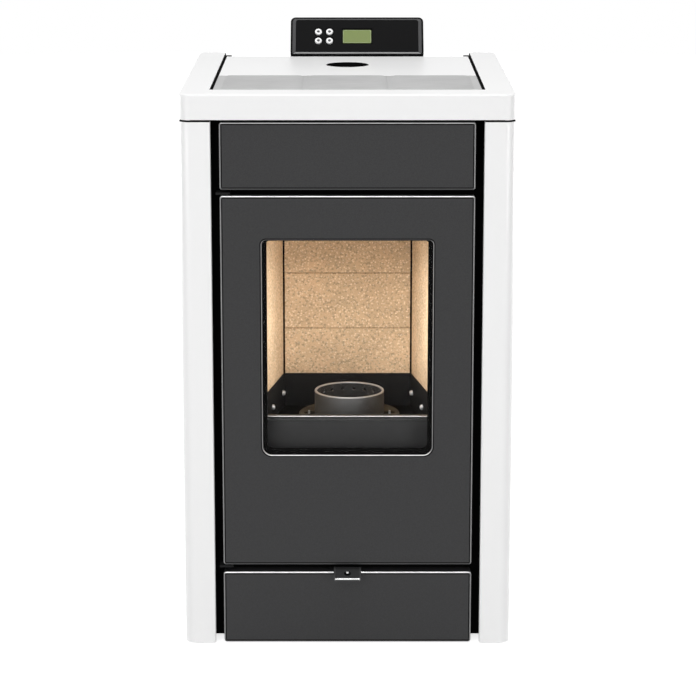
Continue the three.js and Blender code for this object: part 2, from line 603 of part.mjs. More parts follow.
function makePot() {
  const r = POT_R;
  const bodyR = r - 6;
  const seat = FLANGE_TOP + GAP; // the wide upper part of the pot rests on the flange
  const profile = [
    [0, POT_BOTTOM], [bodyR - 2, POT_BOTTOM], [bodyR, POT_BOTTOM + 4], [bodyR, seat], [r, seat],
    [r, POT_TOP - 1], [r - 1, POT_TOP], [POT_BORE + 0.8, POT_TOP], [POT_BORE, POT_TOP - 1],
    [POT_BORE, seat + 6], [bodyR - 3, seat + 3], [bodyR - 3, POT_BOTTOM + 4], [0, POT_BOTTOM + 4],
  ];
  const cup = turned("z", profile, [POT_X, POT_Y], 36);
  const holes = [];
  for (const degrees of WALL_HOLE_ANGLES) {
    const angle = THREE.MathUtils.degToRad(degrees);
    const bar = new THREE.CylinderGeometry(WALL_HOLE_R, WALL_HOLE_R, 12, 8).rotateZ(-Math.PI / 2);
    bar.translate(r - 2, 0, 0).rotateZ(angle).translate(POT_X, POT_Y, POT_TOP - 10.5);
    holes.push(solid(bar));
  }
  const grateHoles = 6;
  for (let i = 0; i < grateHoles; i++) {
    const angle = (i / grateHoles) * 2 * Math.PI;
    const centre = [POT_X + 22 * Math.cos(angle), POT_Y + 22 * Math.sin(angle)];
    holes.push(rod("z", 3, [POT_BOTTOM - 1, POT_BOTTOM + 6], centre, 8));
  }
  piece("burn_pot", "iron", cut(cup, ...holes));

  const flangeBore = bodyR + 1.5;
  const flange = turned("z", [
    [flangeBore, FLANGE_TOP - 3], [FLANGE_R, FLANGE_TOP - 3], [FLANGE_R, FLANGE_TOP - 0.6],
    [FLANGE_R - 0.6, FLANGE_TOP], [flangeBore, FLANGE_TOP], [flangeBore, FLANGE_TOP - 3],
  ], [POT_X, POT_Y], 36);
  piece("pot_flange", "olive", flange);

  const floor = FIRE_Z[0] + GAP;
  const wall = FLANGE_R - 10;
  const box = turned("z", [
    [0, floor], [wall, floor], [wall, FLANGE_TOP - 3.3], [wall - 3, FLANGE_TOP - 3.3],
    [wall - 3, floor + 3], [40, floor + 3], [40, POT_BOTTOM - GAP], [34, POT_BOTTOM - GAP],
    [34, floor + 3], [0, floor + 3],
  ], [POT_X, POT_Y], 24);
  const tools = [
    rod("y", 17, [POT_Y + 20, POT_Y + wall + 5], [0, INTAKE_Z], 20),
    rod("y", 6, [POT_Y + 20, POT_Y + wall + 5], [IGNITER_X, INTAKE_Z], 12),
  ];
  piece("air_box", "iron", cut(box, ...tools));
  const tip = POT_Y + 46;
  const thickFrom = 268;
  const end = 306;
  const element = [[0, tip], [4, tip + 2], [4, thickFrom], [5.5, thickFrom], [5.5, end], [0, end]];
  piece("igniter", "zinc", turned("y", element, [IGNITER_X, INTAKE_Z], 12));
}

function makeIntake() {
  const near = POT_Y + FLANGE_R - 10 + 0.5;
  const end = 575;
  piece("air_intake_pipe", "zinc", turned("y", [
    [15.5, near], [17.5, near], [17.5, 300], [INTAKE_R, 312], [INTAKE_R, end],
    [INTAKE_R - 2, end], [INTAKE_R - 2, 313], [15.5, 301], [15.5, near],
  ], [0, INTAKE_Z], 28));
}

// ---------------------------------------------------------------- hopper and feed
function makeHopper() {
  const wall = 2;
  const mouthX = 182;
  const mouthY = [286, 464];
  const neck = 684;
  const foot = 584;
  const footX = 24;
  const footY = [396, 446];
  const throat = ([front, rear], trim, top) => polygon([
    [front, top], [rear, top], [rear, 517 - trim], [front, 573 - trim],
  ]);
  const inset = ([a, b]) => [a + wall, b - wall];
  const outer = join(
    block(both(mouthX), mouthY, [neck - 0.01, RAIL_TOP - 4]),
    taper([both(footX), footY], [both(mouthX), mouthY], [foot, neck]),
    prism(throat(footY, 0, foot + 0.01), "x", both(footX)),
  );
  const inner = join(
    block(both(mouthX - wall), inset(mouthY), [neck - 0.01, RAIL_TOP]),
    taper([both(footX - wall), inset(footY)], [both(mouthX - wall), inset(mouthY)], [foot, neck]),
    prism(throat(inset(footY), 5, foot + 1), "x", both(footX - wall)),
  );
  piece("hopper", "zinc", cut(outer, inner));
}

// The feed unit is drawn upright, its lower end at z 0, and leans forwards as one group.
const rise = AUGER_HEAD[1] - AUGER_FOOT[1];
const run = AUGER_FOOT[0] - AUGER_HEAD[0];
const FEED_LENGTH = Math.hypot(rise, run);

// One helical blade as a closed band of four-cornered sections.
function helix(inner, outer, thick, [from, to], pitch) {
  const steps = Math.round(((to - from) / pitch) * 12);
  const points = [];
  for (let i = 0; i <= steps; i++) {
    const angle = (i / 12) * 2 * Math.PI;
    const z = from + ((to - from) * i) / steps;
    for (const [r, lift] of [[inner, 0], [outer, 0], [outer, thick], [inner, thick]]) {
      points.push(r * Math.cos(angle), r * Math.sin(angle), z + lift);
    }
  }
  const faces = [0, 2, 1, 0, 3, 2];
  for (let i = 0; i < steps; i++) {
    for (let k = 0; k < 4; k++) {
      const a = 4 * i + k;
      const b = 4 * i + ((k + 1) % 4);
      faces.push(a, b, b + 4, a, b + 4, a + 4);
    }
  }
  const last = 4 * steps;
  faces.push(last, last + 1, last + 2, last, last + 2, last + 3);
  const band = new THREE.BufferGeometry();
  band.setAttribute("position", new THREE.Float32BufferAttribute(points, 3));
  band.setIndex(faces);
  return solid(band);
}

function makeFeed() {
  const unit = new THREE.Group();
  unit.position.set(0, AUGER_FOOT[0], AUGER_FOOT[1]);
  unit.rotation.x = Math.atan2(run, rise);
  stove.add(unit);

  const pipe = tube("z", TUBE_R, TUBE_BORE, [0, FEED_LENGTH], [0, 0], 32);
  const inlet = block(both(20), [5, 40], [34, 104]);
  const outlet = block(both(18), [-40, -5], [FEED_LENGTH - 44, FEED_LENGTH - 4]);
  piece("feed_tube", "zinc", cut(pipe, inlet, outlet), unit);

  const shaft = rod("z", 6, [-16, FEED_LENGTH - 6], [0, 0], 16);
  piece("auger", "zinc", join(shaft, helix(5, 22.5, 2.5, [3, FEED_LENGTH - 12], 38)), unit);

  const gearbox = block(both(34), [-30, 42], [-46, -17]);
  const motor = rod("z", 27, [-80, -45], [0, 12], 24);
  piece("gear_motor", "motor", join(gearbox, motor), unit);
}

// ---------------------------------------------------------------- fans
const FAN_X = [-128, -62];
const FAN_CENTRE = [420, 196]; // depth and height
const FAN_R = 74;
const FAN_WALL = 2.5;
const DUCT_X = [-142, -78]; // the smoke duct from the firebox down to the fan
const DUCT_Z = [FAN_CENTRE[1] + 34, 300];
const WHEEL_R = 56;
const WHEEL_BLADES = 8;

function makeSmokeFan() {
  const [y, z] = FAN_CENTRE;
  const inset = ([a, b]) => [a + FAN_WALL, b - FAN_WALL];
  const drum = rod("x", FAN_R, FAN_X, FAN_CENTRE, 28);
  const neck = rod("y", FLUE_R, [y, FLUE_END], FLUE, 28);
  const duct = block(DUCT_X, [FIRE_BACK + STEEL + GAP, y - 40], DUCT_Z);
  const hollow = rod("x", FAN_R - FAN_WALL, inset(FAN_X), FAN_CENTRE, 28);
  const bore = rod("y", FLUE_R - FAN_WALL, [y, FLUE_END + 1], FLUE, 28);
  const ductBore = block(inset(DUCT_X), [FIRE_BACK, y - 30], inset(DUCT_Z));
  const endWall = block([-150, FAN_X[0] + FAN_WALL], [y - 38, y + 75], [z - 80, z + 110]);
  const inside = cut(join(hollow, bore, ductBore), endWall);
  const shaftHole = rod("x", 4.5, [FAN_X[1] - 5, FAN_X[1] + 5], FAN_CENTRE, 16);
  piece("smoke_fan_housing", "iron", cut(join(drum, neck, duct), inside, shaftHole));

  const [near, far] = [FAN_X[0] + 12, FAN_X[1] - 8];
  const parts = [
    rod("x", WHEEL_R, [far - 2, far], FAN_CENTRE, 32),
    rod("x", 10, [near, far], FAN_CENTRE, 16),
    rod("x", 4, [far - 1, FAN_X[1] + 8], FAN_CENTRE, 16),
  ];
  for (let i = 0; i < WHEEL_BLADES; i++) {
    const blade = new THREE.BoxGeometry(far - near, 48, 2);
    blade.translate(0, 30, 0).rotateX((i / WHEEL_BLADES) * 2 * Math.PI);
    parts.push(solid(blade.translate((near + far) / 2, y, z)));
  }
  piece("smoke_fan_wheel", "zinc", join(...parts));

  const face = FAN_X[1] + 9;
  const end = 2;
  const can = [[0, face], [30, face], [34, face + 3], [34, end], [0, end]];
  piece("smoke_fan_motor", "motor", turned("x", can, FAN_CENTRE, 24));
}

const ROOM_FAN = [488, 78]; // depth and height of its axis
const ROOM_FAN_X = [20, 200];
const DRUM_BLADES = 10;

function makeRoomFan() {
  const [y, z] = ROOM_FAN;
  const [x0, x1] = ROOM_FAN_X;
  const body = block([x0, x1], [y - 44, y + 44], [z - 42, z + 44]);
  const bore = rod("x", 38, [x0 + 2.5, x1 - 2.5], ROOM_FAN, 28);
  const intake = block([x0 + 8, x1 - 8], [y + 10, y + 46], [z - 28, z + 30]);
  const outlet = block([x0 + 8, x1 - 8], [y - 36, y - 6], [z + 10, z + 46]);
  const shaft = rod("x", 3.5, [x1 - 4, x1 + 1], ROOM_FAN, 12);
  piece("room_fan_housing", "zinc", cut(body, bore, intake, outlet, shaft));

  const parts = [rod("x", 3, [x0 + 6, x1 + 4], ROOM_FAN, 12)];
  for (const x of [x0 + 6, (x0 + x1) / 2, x1 - 8]) parts.push(rod("x", 32, [x, x + 2], ROOM_FAN, 18));
  for (let i = 0; i < DRUM_BLADES; i++) {
    const blade = new THREE.BoxGeometry(x1 - x0 - 12, 10, 1.6);
    blade.rotateX(0.6).translate(0, 26, 0).rotateX((i / DRUM_BLADES) * 2 * Math.PI);
    parts.push(solid(blade.translate((x0 + x1) / 2, y, z)));
  }
  piece("room_fan_wheel", "zinc", join(...parts));
}

// ---------------------------------------------------------------- control box
// The sloping face is drawn flat in a leaning group: x across, y up the slope, z out of it.
const panel = new THREE.Group();
panel.position.set(CONTROL_X, CONTROL_FOOT[0], CONTROL_FOOT[1]);
panel.rotation.x = THREE.MathUtils.degToRad(90 - CONTROL_LEAN);
stove.add(panel);

function makeControlHousing() {
  const lean = THREE.MathUtils.degToRad(CONTROL_LEAN);
  const [footY, footZ] = CONTROL_FOOT;
  const back = FACE_T + GAP;
  const up = [Math.sin(lean), Math.cos(lean)];
  const inward = [Math.cos(lean), -Math.sin(lean)];
  const onSlope = (v, w) => [footY + v * up[0] + w * inward[0], footZ + v * up[1] + w * inward[1]];
  const top = onSlope(CONTROL_LENGTH, back);
  const low = onSlope(back / Math.tan(lean + Math.PI / 2) + 3.4, back);
  const outline = polygon([
    low, top, [top[0] + 5, top[1] + 1.2], [CONTROL_BACK, top[1] + 1.2], [CONTROL_BACK, footZ - 17],
    [514, footZ - 17], [514, low[1]],
  ]);
  const t = 2.2;
  const hollow = polygon([
    [low[0] + 4, low[1] + t], [top[0] - 3, top[1] - t - 1], [CONTROL_BACK - t, top[1] - t],
    [CONTROL_BACK - t, footZ - 17 + t], [514 + t, footZ - 17 + t], [514 + t, low[1] + t],
  ]);
  const x = [CONTROL_X - CONTROL_HALF, CONTROL_X + CONTROL_HALF];
  const body = prism(outline, "x", x);
  const cavity = prism(hollow, "x", [x[0] + t, x[1] - t]);
  const mouthShape = polygon([
    onSlope(8, -2), onSlope(CONTROL_LENGTH - 5, -2), onSlope(CONTROL_LENGTH - 5, 14), onSlope(8, 10),
  ]);
  const mouth = prism(mouthShape, "x", [x[0] + 6, x[1] - 6]);
  piece("control_housing", "plastic", cut(body, cavity, mouth));
}

const BOARD_HALF = 94;
const BOARD_V = [16, 62];

function makeControlFace() {
  const outline = roundedRect(both(CONTROL_HALF), [0, CONTROL_LENGTH], [3, 3, 7, 7]);
  const glassHole = roundedRect(both(LCD_HALF + GAP), [LCD_V[0] - GAP, LCD_V[1] + GAP], 1);
  const tools = [prism(glassHole, "z", [-5, 5])];
  for (const u of BUTTON_U) {
    for (const v of BUTTON_V) tools.push(rod("z", BUTTON_R + GAP, [-5, 5], [u, v], 16));
  }
  piece("control_face", "plastic", cut(prism(outline, "z", [-FACE_T, 0], 6), ...tools), panel);

  const lcd = roundedRect(both(LCD_HALF), LCD_V, 1);
  piece("display", "lcd", prism(lcd, "z", [-7.6, -0.7]), panel);
  piece("control_board", "board", block(both(BOARD_HALF), BOARD_V, [-9.6, -8]), panel);

  const profile = [
    [0, -6.4], [2, -6.4], [2, -4.6], [BUTTON_R + 1, -4.6], [BUTTON_R + 1, -3], [BUTTON_R, -3],
    [BUTTON_R, 0.6], [BUTTON_R - 0.6, 1.2], [0, 1.2],
  ];
  let count = 1;
  for (const v of [...BUTTON_V].reverse()) {
    for (const u of BUTTON_U) piece("button_" + count++, "ring", turned("z", profile, [u, v], 16), panel);
  }
}

makeBase();
makeFeet();
makeSide("left_side_panel", -1);
makeSide("right_side_panel", 1);
makeTopFrame();
makeGrille();
makeLid();
makeCradle();
makeBack();
makePowerInlet();
makeFrontFrame();
makeUpperPanel();
makeDoor();
makeHinges();
makeCatch();
makeDrawer();
makeFirebox();
makeLining();
makeTray();
makePot();
makeIntake();
makeHopper();
makeFeed();
makeSmokeFan();
makeRoomFan();
makeControlHousing();
makeControlFace();

export default stove;
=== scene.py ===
"""A small domestic pellet stove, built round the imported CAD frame.

Sizes are millimetres in the part's own terms: x to the right, depth back from the columns' front
plane, z up. at() turns them into the row frame.
"""
import math

import bmesh
import bpy
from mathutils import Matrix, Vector, geometry

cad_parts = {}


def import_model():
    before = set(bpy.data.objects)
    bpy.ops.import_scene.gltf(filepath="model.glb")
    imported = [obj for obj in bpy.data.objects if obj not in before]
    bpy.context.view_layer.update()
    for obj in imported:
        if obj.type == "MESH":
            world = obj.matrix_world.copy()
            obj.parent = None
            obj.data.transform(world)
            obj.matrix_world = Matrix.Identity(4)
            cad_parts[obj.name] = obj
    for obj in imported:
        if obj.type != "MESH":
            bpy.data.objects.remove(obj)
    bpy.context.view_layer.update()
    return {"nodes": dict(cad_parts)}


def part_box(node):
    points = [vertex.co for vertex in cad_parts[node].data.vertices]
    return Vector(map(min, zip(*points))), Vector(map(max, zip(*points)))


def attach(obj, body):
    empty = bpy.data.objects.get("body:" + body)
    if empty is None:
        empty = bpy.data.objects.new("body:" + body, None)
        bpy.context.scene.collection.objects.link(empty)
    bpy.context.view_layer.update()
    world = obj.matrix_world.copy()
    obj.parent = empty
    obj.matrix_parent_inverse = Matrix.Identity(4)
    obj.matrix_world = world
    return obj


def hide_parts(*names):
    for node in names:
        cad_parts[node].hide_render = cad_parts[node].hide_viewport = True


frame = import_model()

MM = 0.001
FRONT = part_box("top_frame")[0].y  # the plane of the columns' fronts


def at(x, depth, z):
    return Vector((x * MM, FRONT + depth * MM, z * MM))


# ---- driving dimensions
HALF = 240  # half the body's width
CORNER_R = 17
SHEET = 2.5
TOP_Z = 816
LIP = 37  # height of the top's front
TOP_DEPTH = 560
COLUMN_IN = 194.8  # the columns' inner edges
COLUMN_Z = (1.5, 776.4)
SIDE_REAR = 545
BEND_R = 2.2  # outside radius of the folded sheets

PANEL_X = 182.4
PANEL_FRONT = 2
UPPER_Z = (679, 776)
DOOR_Z = (121.5, 670.5)
LOWER_Z = (2, 110.5)
PANEL_BACK = 27.6
DOOR_BACK = 20
PANEL_R = 4
WINDOW_X = 123
WINDOW_Z = (288.5, 606)

OPENING_X = 197  # half the opening between the top's side strips
BAR_REAR = 58  # rear of the front bar
GRILLE_Y = (60, 239.5)
LID_Y = (243.5, 508)
PLATE_X = 193.7  # half the width of the grille and the lid
PLATE_Z = (812, 815)
FINGER_Y = 388
FINGER_R = 33
LID_AXIS = (480, 802)  # depth and height

CONTROL_X = 15.4
CONTROL_HALF = 107
CONTROL_FOOT = (504, 818)
CONTROL_LEAN = math.radians(38)
CONTROL_LENGTH = 71.7
CONTROL_BACK = 556.6
BUTTON_R = 5.6
BUTTON_U = (-62.3, -44.4)  # across the slope
BUTTON_V = (43.9, 27)  # up the slope
LCD_HALF = 22.8
LCD_V = (23.2, 48)

LINING_BACK = 250
LINING_HALF = 97
SPLAY = 0.17  # how fast the side boards open towards the door
BOARD = 16
TILE_SEAMS = (337.7, 424, 510.3, 636)
TRAY_FRONT = 43
TRAY_FLOOR = 300
TRAY_TOP = 353
POT = (2.8, 160)  # across and depth
POT_HOLES = (42, 62, 82, 102, 122, 142)  # degrees round from the right: the rear of the wall
POT_R = 52.5
POT_BORE = 48.8
POT_TOP = 349
POT_BOTTOM = 286
FLANGE_R = 76
FLANGE_TOP = 313
FENDER_Z = (266, 339.5)
FENDER_HALF = 136
FENDER_Y = (34, 44)
FENDER_ROLL = 1.7
TAB_HALF = 20
TAB_Y = (-20, 9)
TAB_SLOPE = 0.364
TAB_THICK = 2.66
TAB_SCREW_Y = -5


# ---- outlines
def arc(centre, radius, start, turn, steps):
    """Points on a circle from a start angle through a turn, in degrees."""
    points = []
    for k in range(steps + 1):
        angle = math.radians(start + turn * k / steps)
        across, up = radius * math.cos(angle), radius * math.sin(angle)
        points.append(Vector((centre[0] + across, centre[1] + up)))
    return points


def circle(centre, radius, steps=48):
    return arc(centre, radius, 0, 360, steps)[:-1]


def rounded(across, up, radii, steps=6):
    """A rectangle with round corners: low left, low right, top right, top left. A plain number
    across is half the width."""
    a0, a1 = (-across, across) if isinstance(across, (int, float)) else across
    b0, b1 = up
    ll, lr, tr, tl = radii if isinstance(radii, tuple) else (radii,) * 4
    points = arc((a0 + ll, b0 + ll), ll, 180, 90, steps)
    points += arc((a1 - lr, b0 + lr), lr, 270, 90, steps)
    points += arc((a1 - tr, b1 - tr), tr, 0, 90, steps)
    points += arc((a0 + tl, b1 - tl), tl, 90, 90, steps)
    return points


def filleted(corners, steps=5):
    """A polygon of (a, b, radius) corners, each rounded by its radius."""
    points = []
    for i, (a, b, radius) in enumerate(corners):
        here = Vector((a, b))
        if radius == 0:
            points.append(here)
            continue
        before = (Vector(corners[i - 1][:2]) - here).normalized()
        after = (Vector(corners[(i + 1) % len(corners)][:2]) - here).normalized()
        half = before.angle(after) / 2
        centre = here + (before + after).normalized() * (radius / math.sin(half))
        start = here + before * (radius / math.tan(half)) - centre
        turn = math.pi - 2 * half
        if before.x * after.y - before.y * after.x > 0:
            turn = -turn
        first = math.degrees(math.atan2(start.y, start.x))
        points += arc(centre, radius, first, math.degrees(turn), steps)
    return points


def inset(loop, by):
    """Moves a loop to the left of its direction of travel, with mitred corners."""
    moved = []
    for i, here in enumerate(loop):
        first = (here - loop[i - 1]).normalized()
        second = (loop[(i + 1) % len(loop)] - here).normalized()
        left = Vector((-first.y - second.y, first.x + second.x))
        moved.append(here + left * (by / (1 + first.dot(second))))
    return moved


def mirrored(loop):
    return [Vector((-p.x, p.y)) for p in loop[::-1]]


def front_round(front, back, radius, steps=5):
    """Edge profile steps (inset, along): a quarter circle from the front face to the wall."""
    way = 1 if back > front else -1
    profile = []
    for k in range(steps + 1):
        angle = math.radians(90 * k / steps)
        profile.append((radius * (1 - math.sin(angle)), front + way * radius * (1 - math.cos(angle))))
    return profile


def slab_edge(front, back, radius, back_radius=0.4, steps=5):
    """The edge of a solid plate, rounded at the front and a little at the back."""
    behind = front_round(back, front, back_radius, 2)
    return front_round(front, back, radius, steps) + behind[::-1]


def rod(radius, start, end):
    """The profile of a plain round rod."""
    return [(0, start), (radius, start), (radius, end), (0, end)]


def folded_edge(front, back, radius=BEND_R, sheet=SHEET):
    """The edge of a sheet that is folded back into a rim."""
    way = 1 if back > front else -1
    blunt = 0.5
    inner = front + way * sheet
    near = back - way * blunt
    rim = [(0, near), (blunt, back), (sheet - blunt, back), (sheet, near)]
    return front_round(front, back, radius) + rim + [(sheet, inner + way), (sheet + 0.4, inner)]


def grooved(profile, width=1.3, deep=0.6, flare=0.2):
    """Sets a fine groove in the front face, just inside an edge profile."""
    radius, front = profile[0]
    near = radius + flare
    far = near + width
    groove = [(far, front), (far - flare, front + deep), (near + flare, front + deep), (near, front)]
    return groove + profile


def facing(a, b, along):
    """Outline across and up, seen from the front; along is the depth."""
    return at(a, along, b)


def lying(a, b, along):
    """Outline across and back, seen from above; along is the height."""
    return at(a, b, along)


def sideways(a, b, along):
    """Outline back and up, seen from the side; along is x."""
    return at(along, a, b)


def on_slope(u, v, w):
    """On the control panel's sloping face: across, up the slope, out of it."""
    depth = CONTROL_FOOT[0] + v * math.sin(CONTROL_LEAN) - w * math.cos(CONTROL_LEAN)
    z = CONTROL_FOOT[1] + v * math.cos(CONTROL_LEAN) + w * math.sin(CONTROL_LEAN)
    return at(CONTROL_X + u, depth, z)


def laid(lay, loop, along):
    return [lay(p.x, p.y, along) for p in loop]


def shifted(lay, a0, b0):
    """A layout moved sideways in its own plane."""
    return lambda a, b, along: lay(a0 + a, b0 + b, along)


def out_of(centre, out, up=Vector((0, 0, 1))):
    """A layout whose along axis points out of a surface at a point."""
    side = up.cross(out).normalized()
    rise = out.cross(side)
    return lambda a, b, along: centre + (side * a + rise * b + out * along) * MM


# ---- meshes
SHARP = 38


def linked(name, data):
    """A new object in the scene."""
    made = bpy.data.objects.new(name, data)
    bpy.context.scene.collection.objects.link(made)
    return made


class Shape:
    """A mesh in the making. Each call adds one closed body to it."""

    def __init__(self):
        self.mesh = bmesh.new()

    def ring(self, points):
        return [self.mesh.verts.new(p) for p in points]

    def bridge(self, first, second, index=0, closed=True):
        count = len(first)
        for i in range(count if closed else count - 1):
            j = (i + 1) % count
            face = self.mesh.faces.new((first[i], first[j], second[j], second[i]))
            face.material_index = index

    def cap(self, loops):
        """Fills a loop, or the face between an outer loop and the holes in it."""
        if len(loops) == 1:
            self.mesh.faces.new(loops[0])
            return
        flat = [v for loop in loops for v in loop]
        for corners in geometry.tessellate_polygon([[v.co / MM for v in loop] for loop in loops]):
            if len(set(corners)) == 3:
                self.mesh.faces.new([flat[k] for k in corners])

    def block(self, stacks, marks):
        """A closed body between walls, each a stack of loops of points: the outline's wall, then
        those of its holes. marks gives the materials of each wall's first steps; the rest is
        plain."""
        ends = []
        for stack, indices in zip(stacks, marks):
            rings = [self.ring(points) for points in stack]
            for i in range(len(rings) - 1):
                self.bridge(rings[i], rings[i + 1], indices[i] if i < len(indices) else 0)
            ends.append((rings[0], rings[-1]))
        for loops in zip(*ends):
            self.cap(loops)
        return self

    def plate(self, lay, outline, profile, holes=(), marks=()):
        """A plate with an edge profile all round and holes with profiles of their own."""
        stacks = []
        for loop, steps in [(outline, profile)] + [(loop[::-1], steps) for loop, steps in holes]:
            stacks.append([laid(lay, inset(loop, by), along) for by, along in steps])
        return self.block(stacks, [marks] * len(stacks))

    def lathe(self, lay, profile, steps=64, indices=None):
        """Turns (radius, along) points round the along axis. The profile starts and ends on
        the axis, or closes on itself."""
        pole = profile[0][0] == 0
        indices = indices or [0] * len(profile)
        rings = []
        for radius, along in profile:
            if radius == 0:
                rings.append([self.mesh.verts.new(lay(0, 0, along))])
            else:
                rings.append(self.ring(laid(lay, circle((0, 0), radius, steps), along)))
        last = len(rings) - 1 if pole else len(rings)
        for i in range(last):
            first, second = rings[i], rings[(i + 1) % len(rings)]
            if len(first) == 1 or len(second) == 1:
                tip, rim = (first[0], second) if len(first) == 1 else (second[0], first)
                for k in range(steps):
                    face = self.mesh.faces.new((tip, rim[k], rim[(k + 1) % steps]))
                    face.material_index = indices[i]
            else:
                self.bridge(first, second, indices[i])
        return self

    def sweep(self, path, section):
        """Carries a section, a function of the step that gives (out, across) pairs, round a
        closed path of (point, out, across) steps."""
        rings = []
        for k, (point, out, across) in enumerate(path):
            rings.append(self.ring([point + (out * a + across * b) * MM for a, b in section(k)]))
        for i, ring in enumerate(rings):
            self.bridge(ring, rings[(i + 1) % len(rings)])
        return self

    def paint(self, index, test):
        """Gives a material to the faces whose normal and centre, in mm, pass the test."""
        bmesh.ops.recalc_face_normals(self.mesh, faces=self.mesh.faces)
        for face in self.mesh.faces:
            if test(face.normal, face.calc_center_median() / MM):
                face.material_index = index

    def placed(self, name):
        """Makes the shape an object in the scene."""
        bmesh.ops.recalc_face_normals(self.mesh, faces=self.mesh.faces)
        mesh = bpy.data.meshes.new(name)
        self.mesh.to_mesh(mesh)
        self.mesh.free()
        return linked(name, mesh)

    def finish(self, name, slot, replaces=(), extra=(), look=None, body="chassis", sharp=SHARP):
        """Makes the piece in its slot's look, or in another, with extra looks for marked faces.
        Edges steeper than sharp, in degrees, stay hard."""
        piece = self.placed(name)
        mesh = piece.data
        mesh.polygons.foreach_set("use_smooth", [True] * len(mesh.polygons))
        mesh.set_sharp_from_angle(angle=math.radians(sharp))
        for material in (look or LOOKS[slot], *extra):
            mesh.materials.append(material)
        piece.modifiers.new("Weighted normals", "WEIGHTED_NORMAL").keep_sharp = True
        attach(piece, body)
        if replaces:
            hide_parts(*replaces)
        return piece


# ---- materials
MICRON = 0.000001


class Nodes:
    """The nodes of a material or a world."""

    def __init__(self, owner):
        owner.use_nodes = True
        self.tree = owner.node_tree

    def add(self, kind, **inputs):
        node = self.tree.nodes.new("ShaderNode" + kind)
        self.set(node, inputs)
        return node

    def set(self, node, inputs):
        for socket, value in inputs.items():
            self.put(node.inputs[socket.replace("_", " ")], value)

    def put(self, socket, value):
        if isinstance(value, bpy.types.NodeSocket):
            self.tree.links.new(value, socket)
        else:
            socket.default_value = value

    def remap(self, value, low, high, to_low, to_high):
        node = self.add("MapRange")
        node.clamp = True
        for socket, number in zip(node.inputs[:5], (value, low, high, to_low, to_high)):
            self.put(socket, number)
        return node.outputs["Result"]

    def math(self, operation, first, second):
        node = self.add("Math")
        node.operation = operation
        self.put(node.inputs[0], first)
        self.put(node.inputs[1], second)
        return node.outputs["Value"]


class Look(Nodes):
    """A Principled material and the patterns that it needs."""

    def __init__(self, name, color, **values):
        self.material = bpy.data.materials.new(name)
        super().__init__(self.material)
        self.shader = self.tree.nodes["Principled BSDF"]
        self.set(self.shader, {"Base_Color": (*color, 1), **values})
        self.place = self.add("TexCoord").outputs["Object"]

    def spot(self, stretch):
        if not stretch:
            return self.place
        return self.add("Mapping", Vector=self.place, Scale=stretch).outputs["Vector"]

    def noise(self, scale, detail=3.0, roughness=0.5, stretch=None):
        node = self.add("TexNoise", Vector=self.spot(stretch), Scale=scale, Detail=detail)
        self.put(node.inputs["Roughness"], roughness)
        return node.outputs["Fac"]

    def cells(self, scale, output="Distance", stretch=None):
        return self.add("TexVoronoi", Vector=self.spot(stretch), Scale=scale).outputs[output]

    def blend(self, factor, first, second):
        node = self.add("Mix")
        node.data_type = "RGBA"
        self.put(node.inputs["Factor"], factor)
        for socket, color in ((node.inputs[6], first), (node.inputs[7], second)):
            self.put(socket, (*color, 1) if isinstance(color, tuple) else color)
        return node.outputs[2]

    def mottled(self, value, low, high, color, dark, light):
        """A colour that wanders between a darker and a lighter shade of itself."""
        spread = self.remap(value, low, high, 0, 1)
        return self.blend(spread, shade(color, dark), shade(color, light))

    def bump(self, height, distance, strength, after=None):
        node = self.add("Bump", Height=height, Distance=distance, Strength=strength)
        if after:
            self.put(node.inputs["Normal"], after)
        return node.outputs["Normal"]

    def wear(self, **sockets):
        self.set(self.shader, sockets)
        return self.material


def shade(color, by):
    return tuple(min(1.0, c * by) for c in color)


def enamel(name, coat, coat_roughness):
    """White enamel with a trace of orange peel under its gloss."""
    color = (0.9, 0.9, 0.9)
    look = Look(name, color, Specular_IOR_Level=0.3, Coat_Weight=coat, Coat_Roughness=coat_roughness)
    cloud = look.noise(6, 2)
    return look.wear(
        Base_Color=look.mottled(cloud, 0.35, 0.65, color, 0.995, 1.003),
        Roughness=look.remap(cloud, 0.3, 0.7, 0.4, 0.43),
        Normal=look.bump(look.noise(420, 2), 50 * MICRON, 0.35),
    )


def powder(name, color, roughness, level=0.2):
    """A powder coat: fine grain in the surface, faint cloudiness in its gloss."""
    look = Look(name, color, Specular_IOR_Level=level)
    cloud = look.noise(5, 3)
    grain = look.noise(900, 2)
    speck = look.cells(1400)
    return look.wear(
        Base_Color=look.mottled(grain, 0.3, 0.7, color, 0.86, 1.14),
        Roughness=look.remap(cloud, 0.3, 0.7, roughness - 0.04, roughness + 0.04),
        Normal=look.bump(speck, 60 * MICRON, 0.5, look.bump(grain, 40 * MICRON, 0.6)),
    )


def painted_highlight_edge(name, coat, steel, low, high, side):
    """The folded edges of the dark sheets: a painted highlight in a bright steel colour where they
    face upwards, and less at the sides."""
    look = Look(name, coat)
    normal = look.add("SeparateXYZ", Vector=look.add("TexCoord").outputs["Normal"])
    # the painted highlight grows as the edge faces up, and less as it faces sideways; steel is its
    # colour
    upwards = look.remap(normal.outputs["Z"], low, high, 0, 1)
    sideways_x = look.math("ABSOLUTE", normal.outputs["X"], 0.0)
    edge_highlight = look.math("MAXIMUM", upwards, look.remap(sideways_x, 0.15, 0.45, 0, side))
    patchy = look.math("MULTIPLY", edge_highlight, look.remap(look.noise(60, 3), 0.3, 0.6, 0.82, 1))
    return look.wear(
        Base_Color=look.blend(patchy, coat, steel),
        Metallic=look.math("MULTIPLY", patchy, 0.85),
        Roughness=look.remap(patchy, 0, 1, 0.45, 0.34),
        Normal=look.bump(look.noise(900, 2), 30 * MICRON, 0.5),
    )


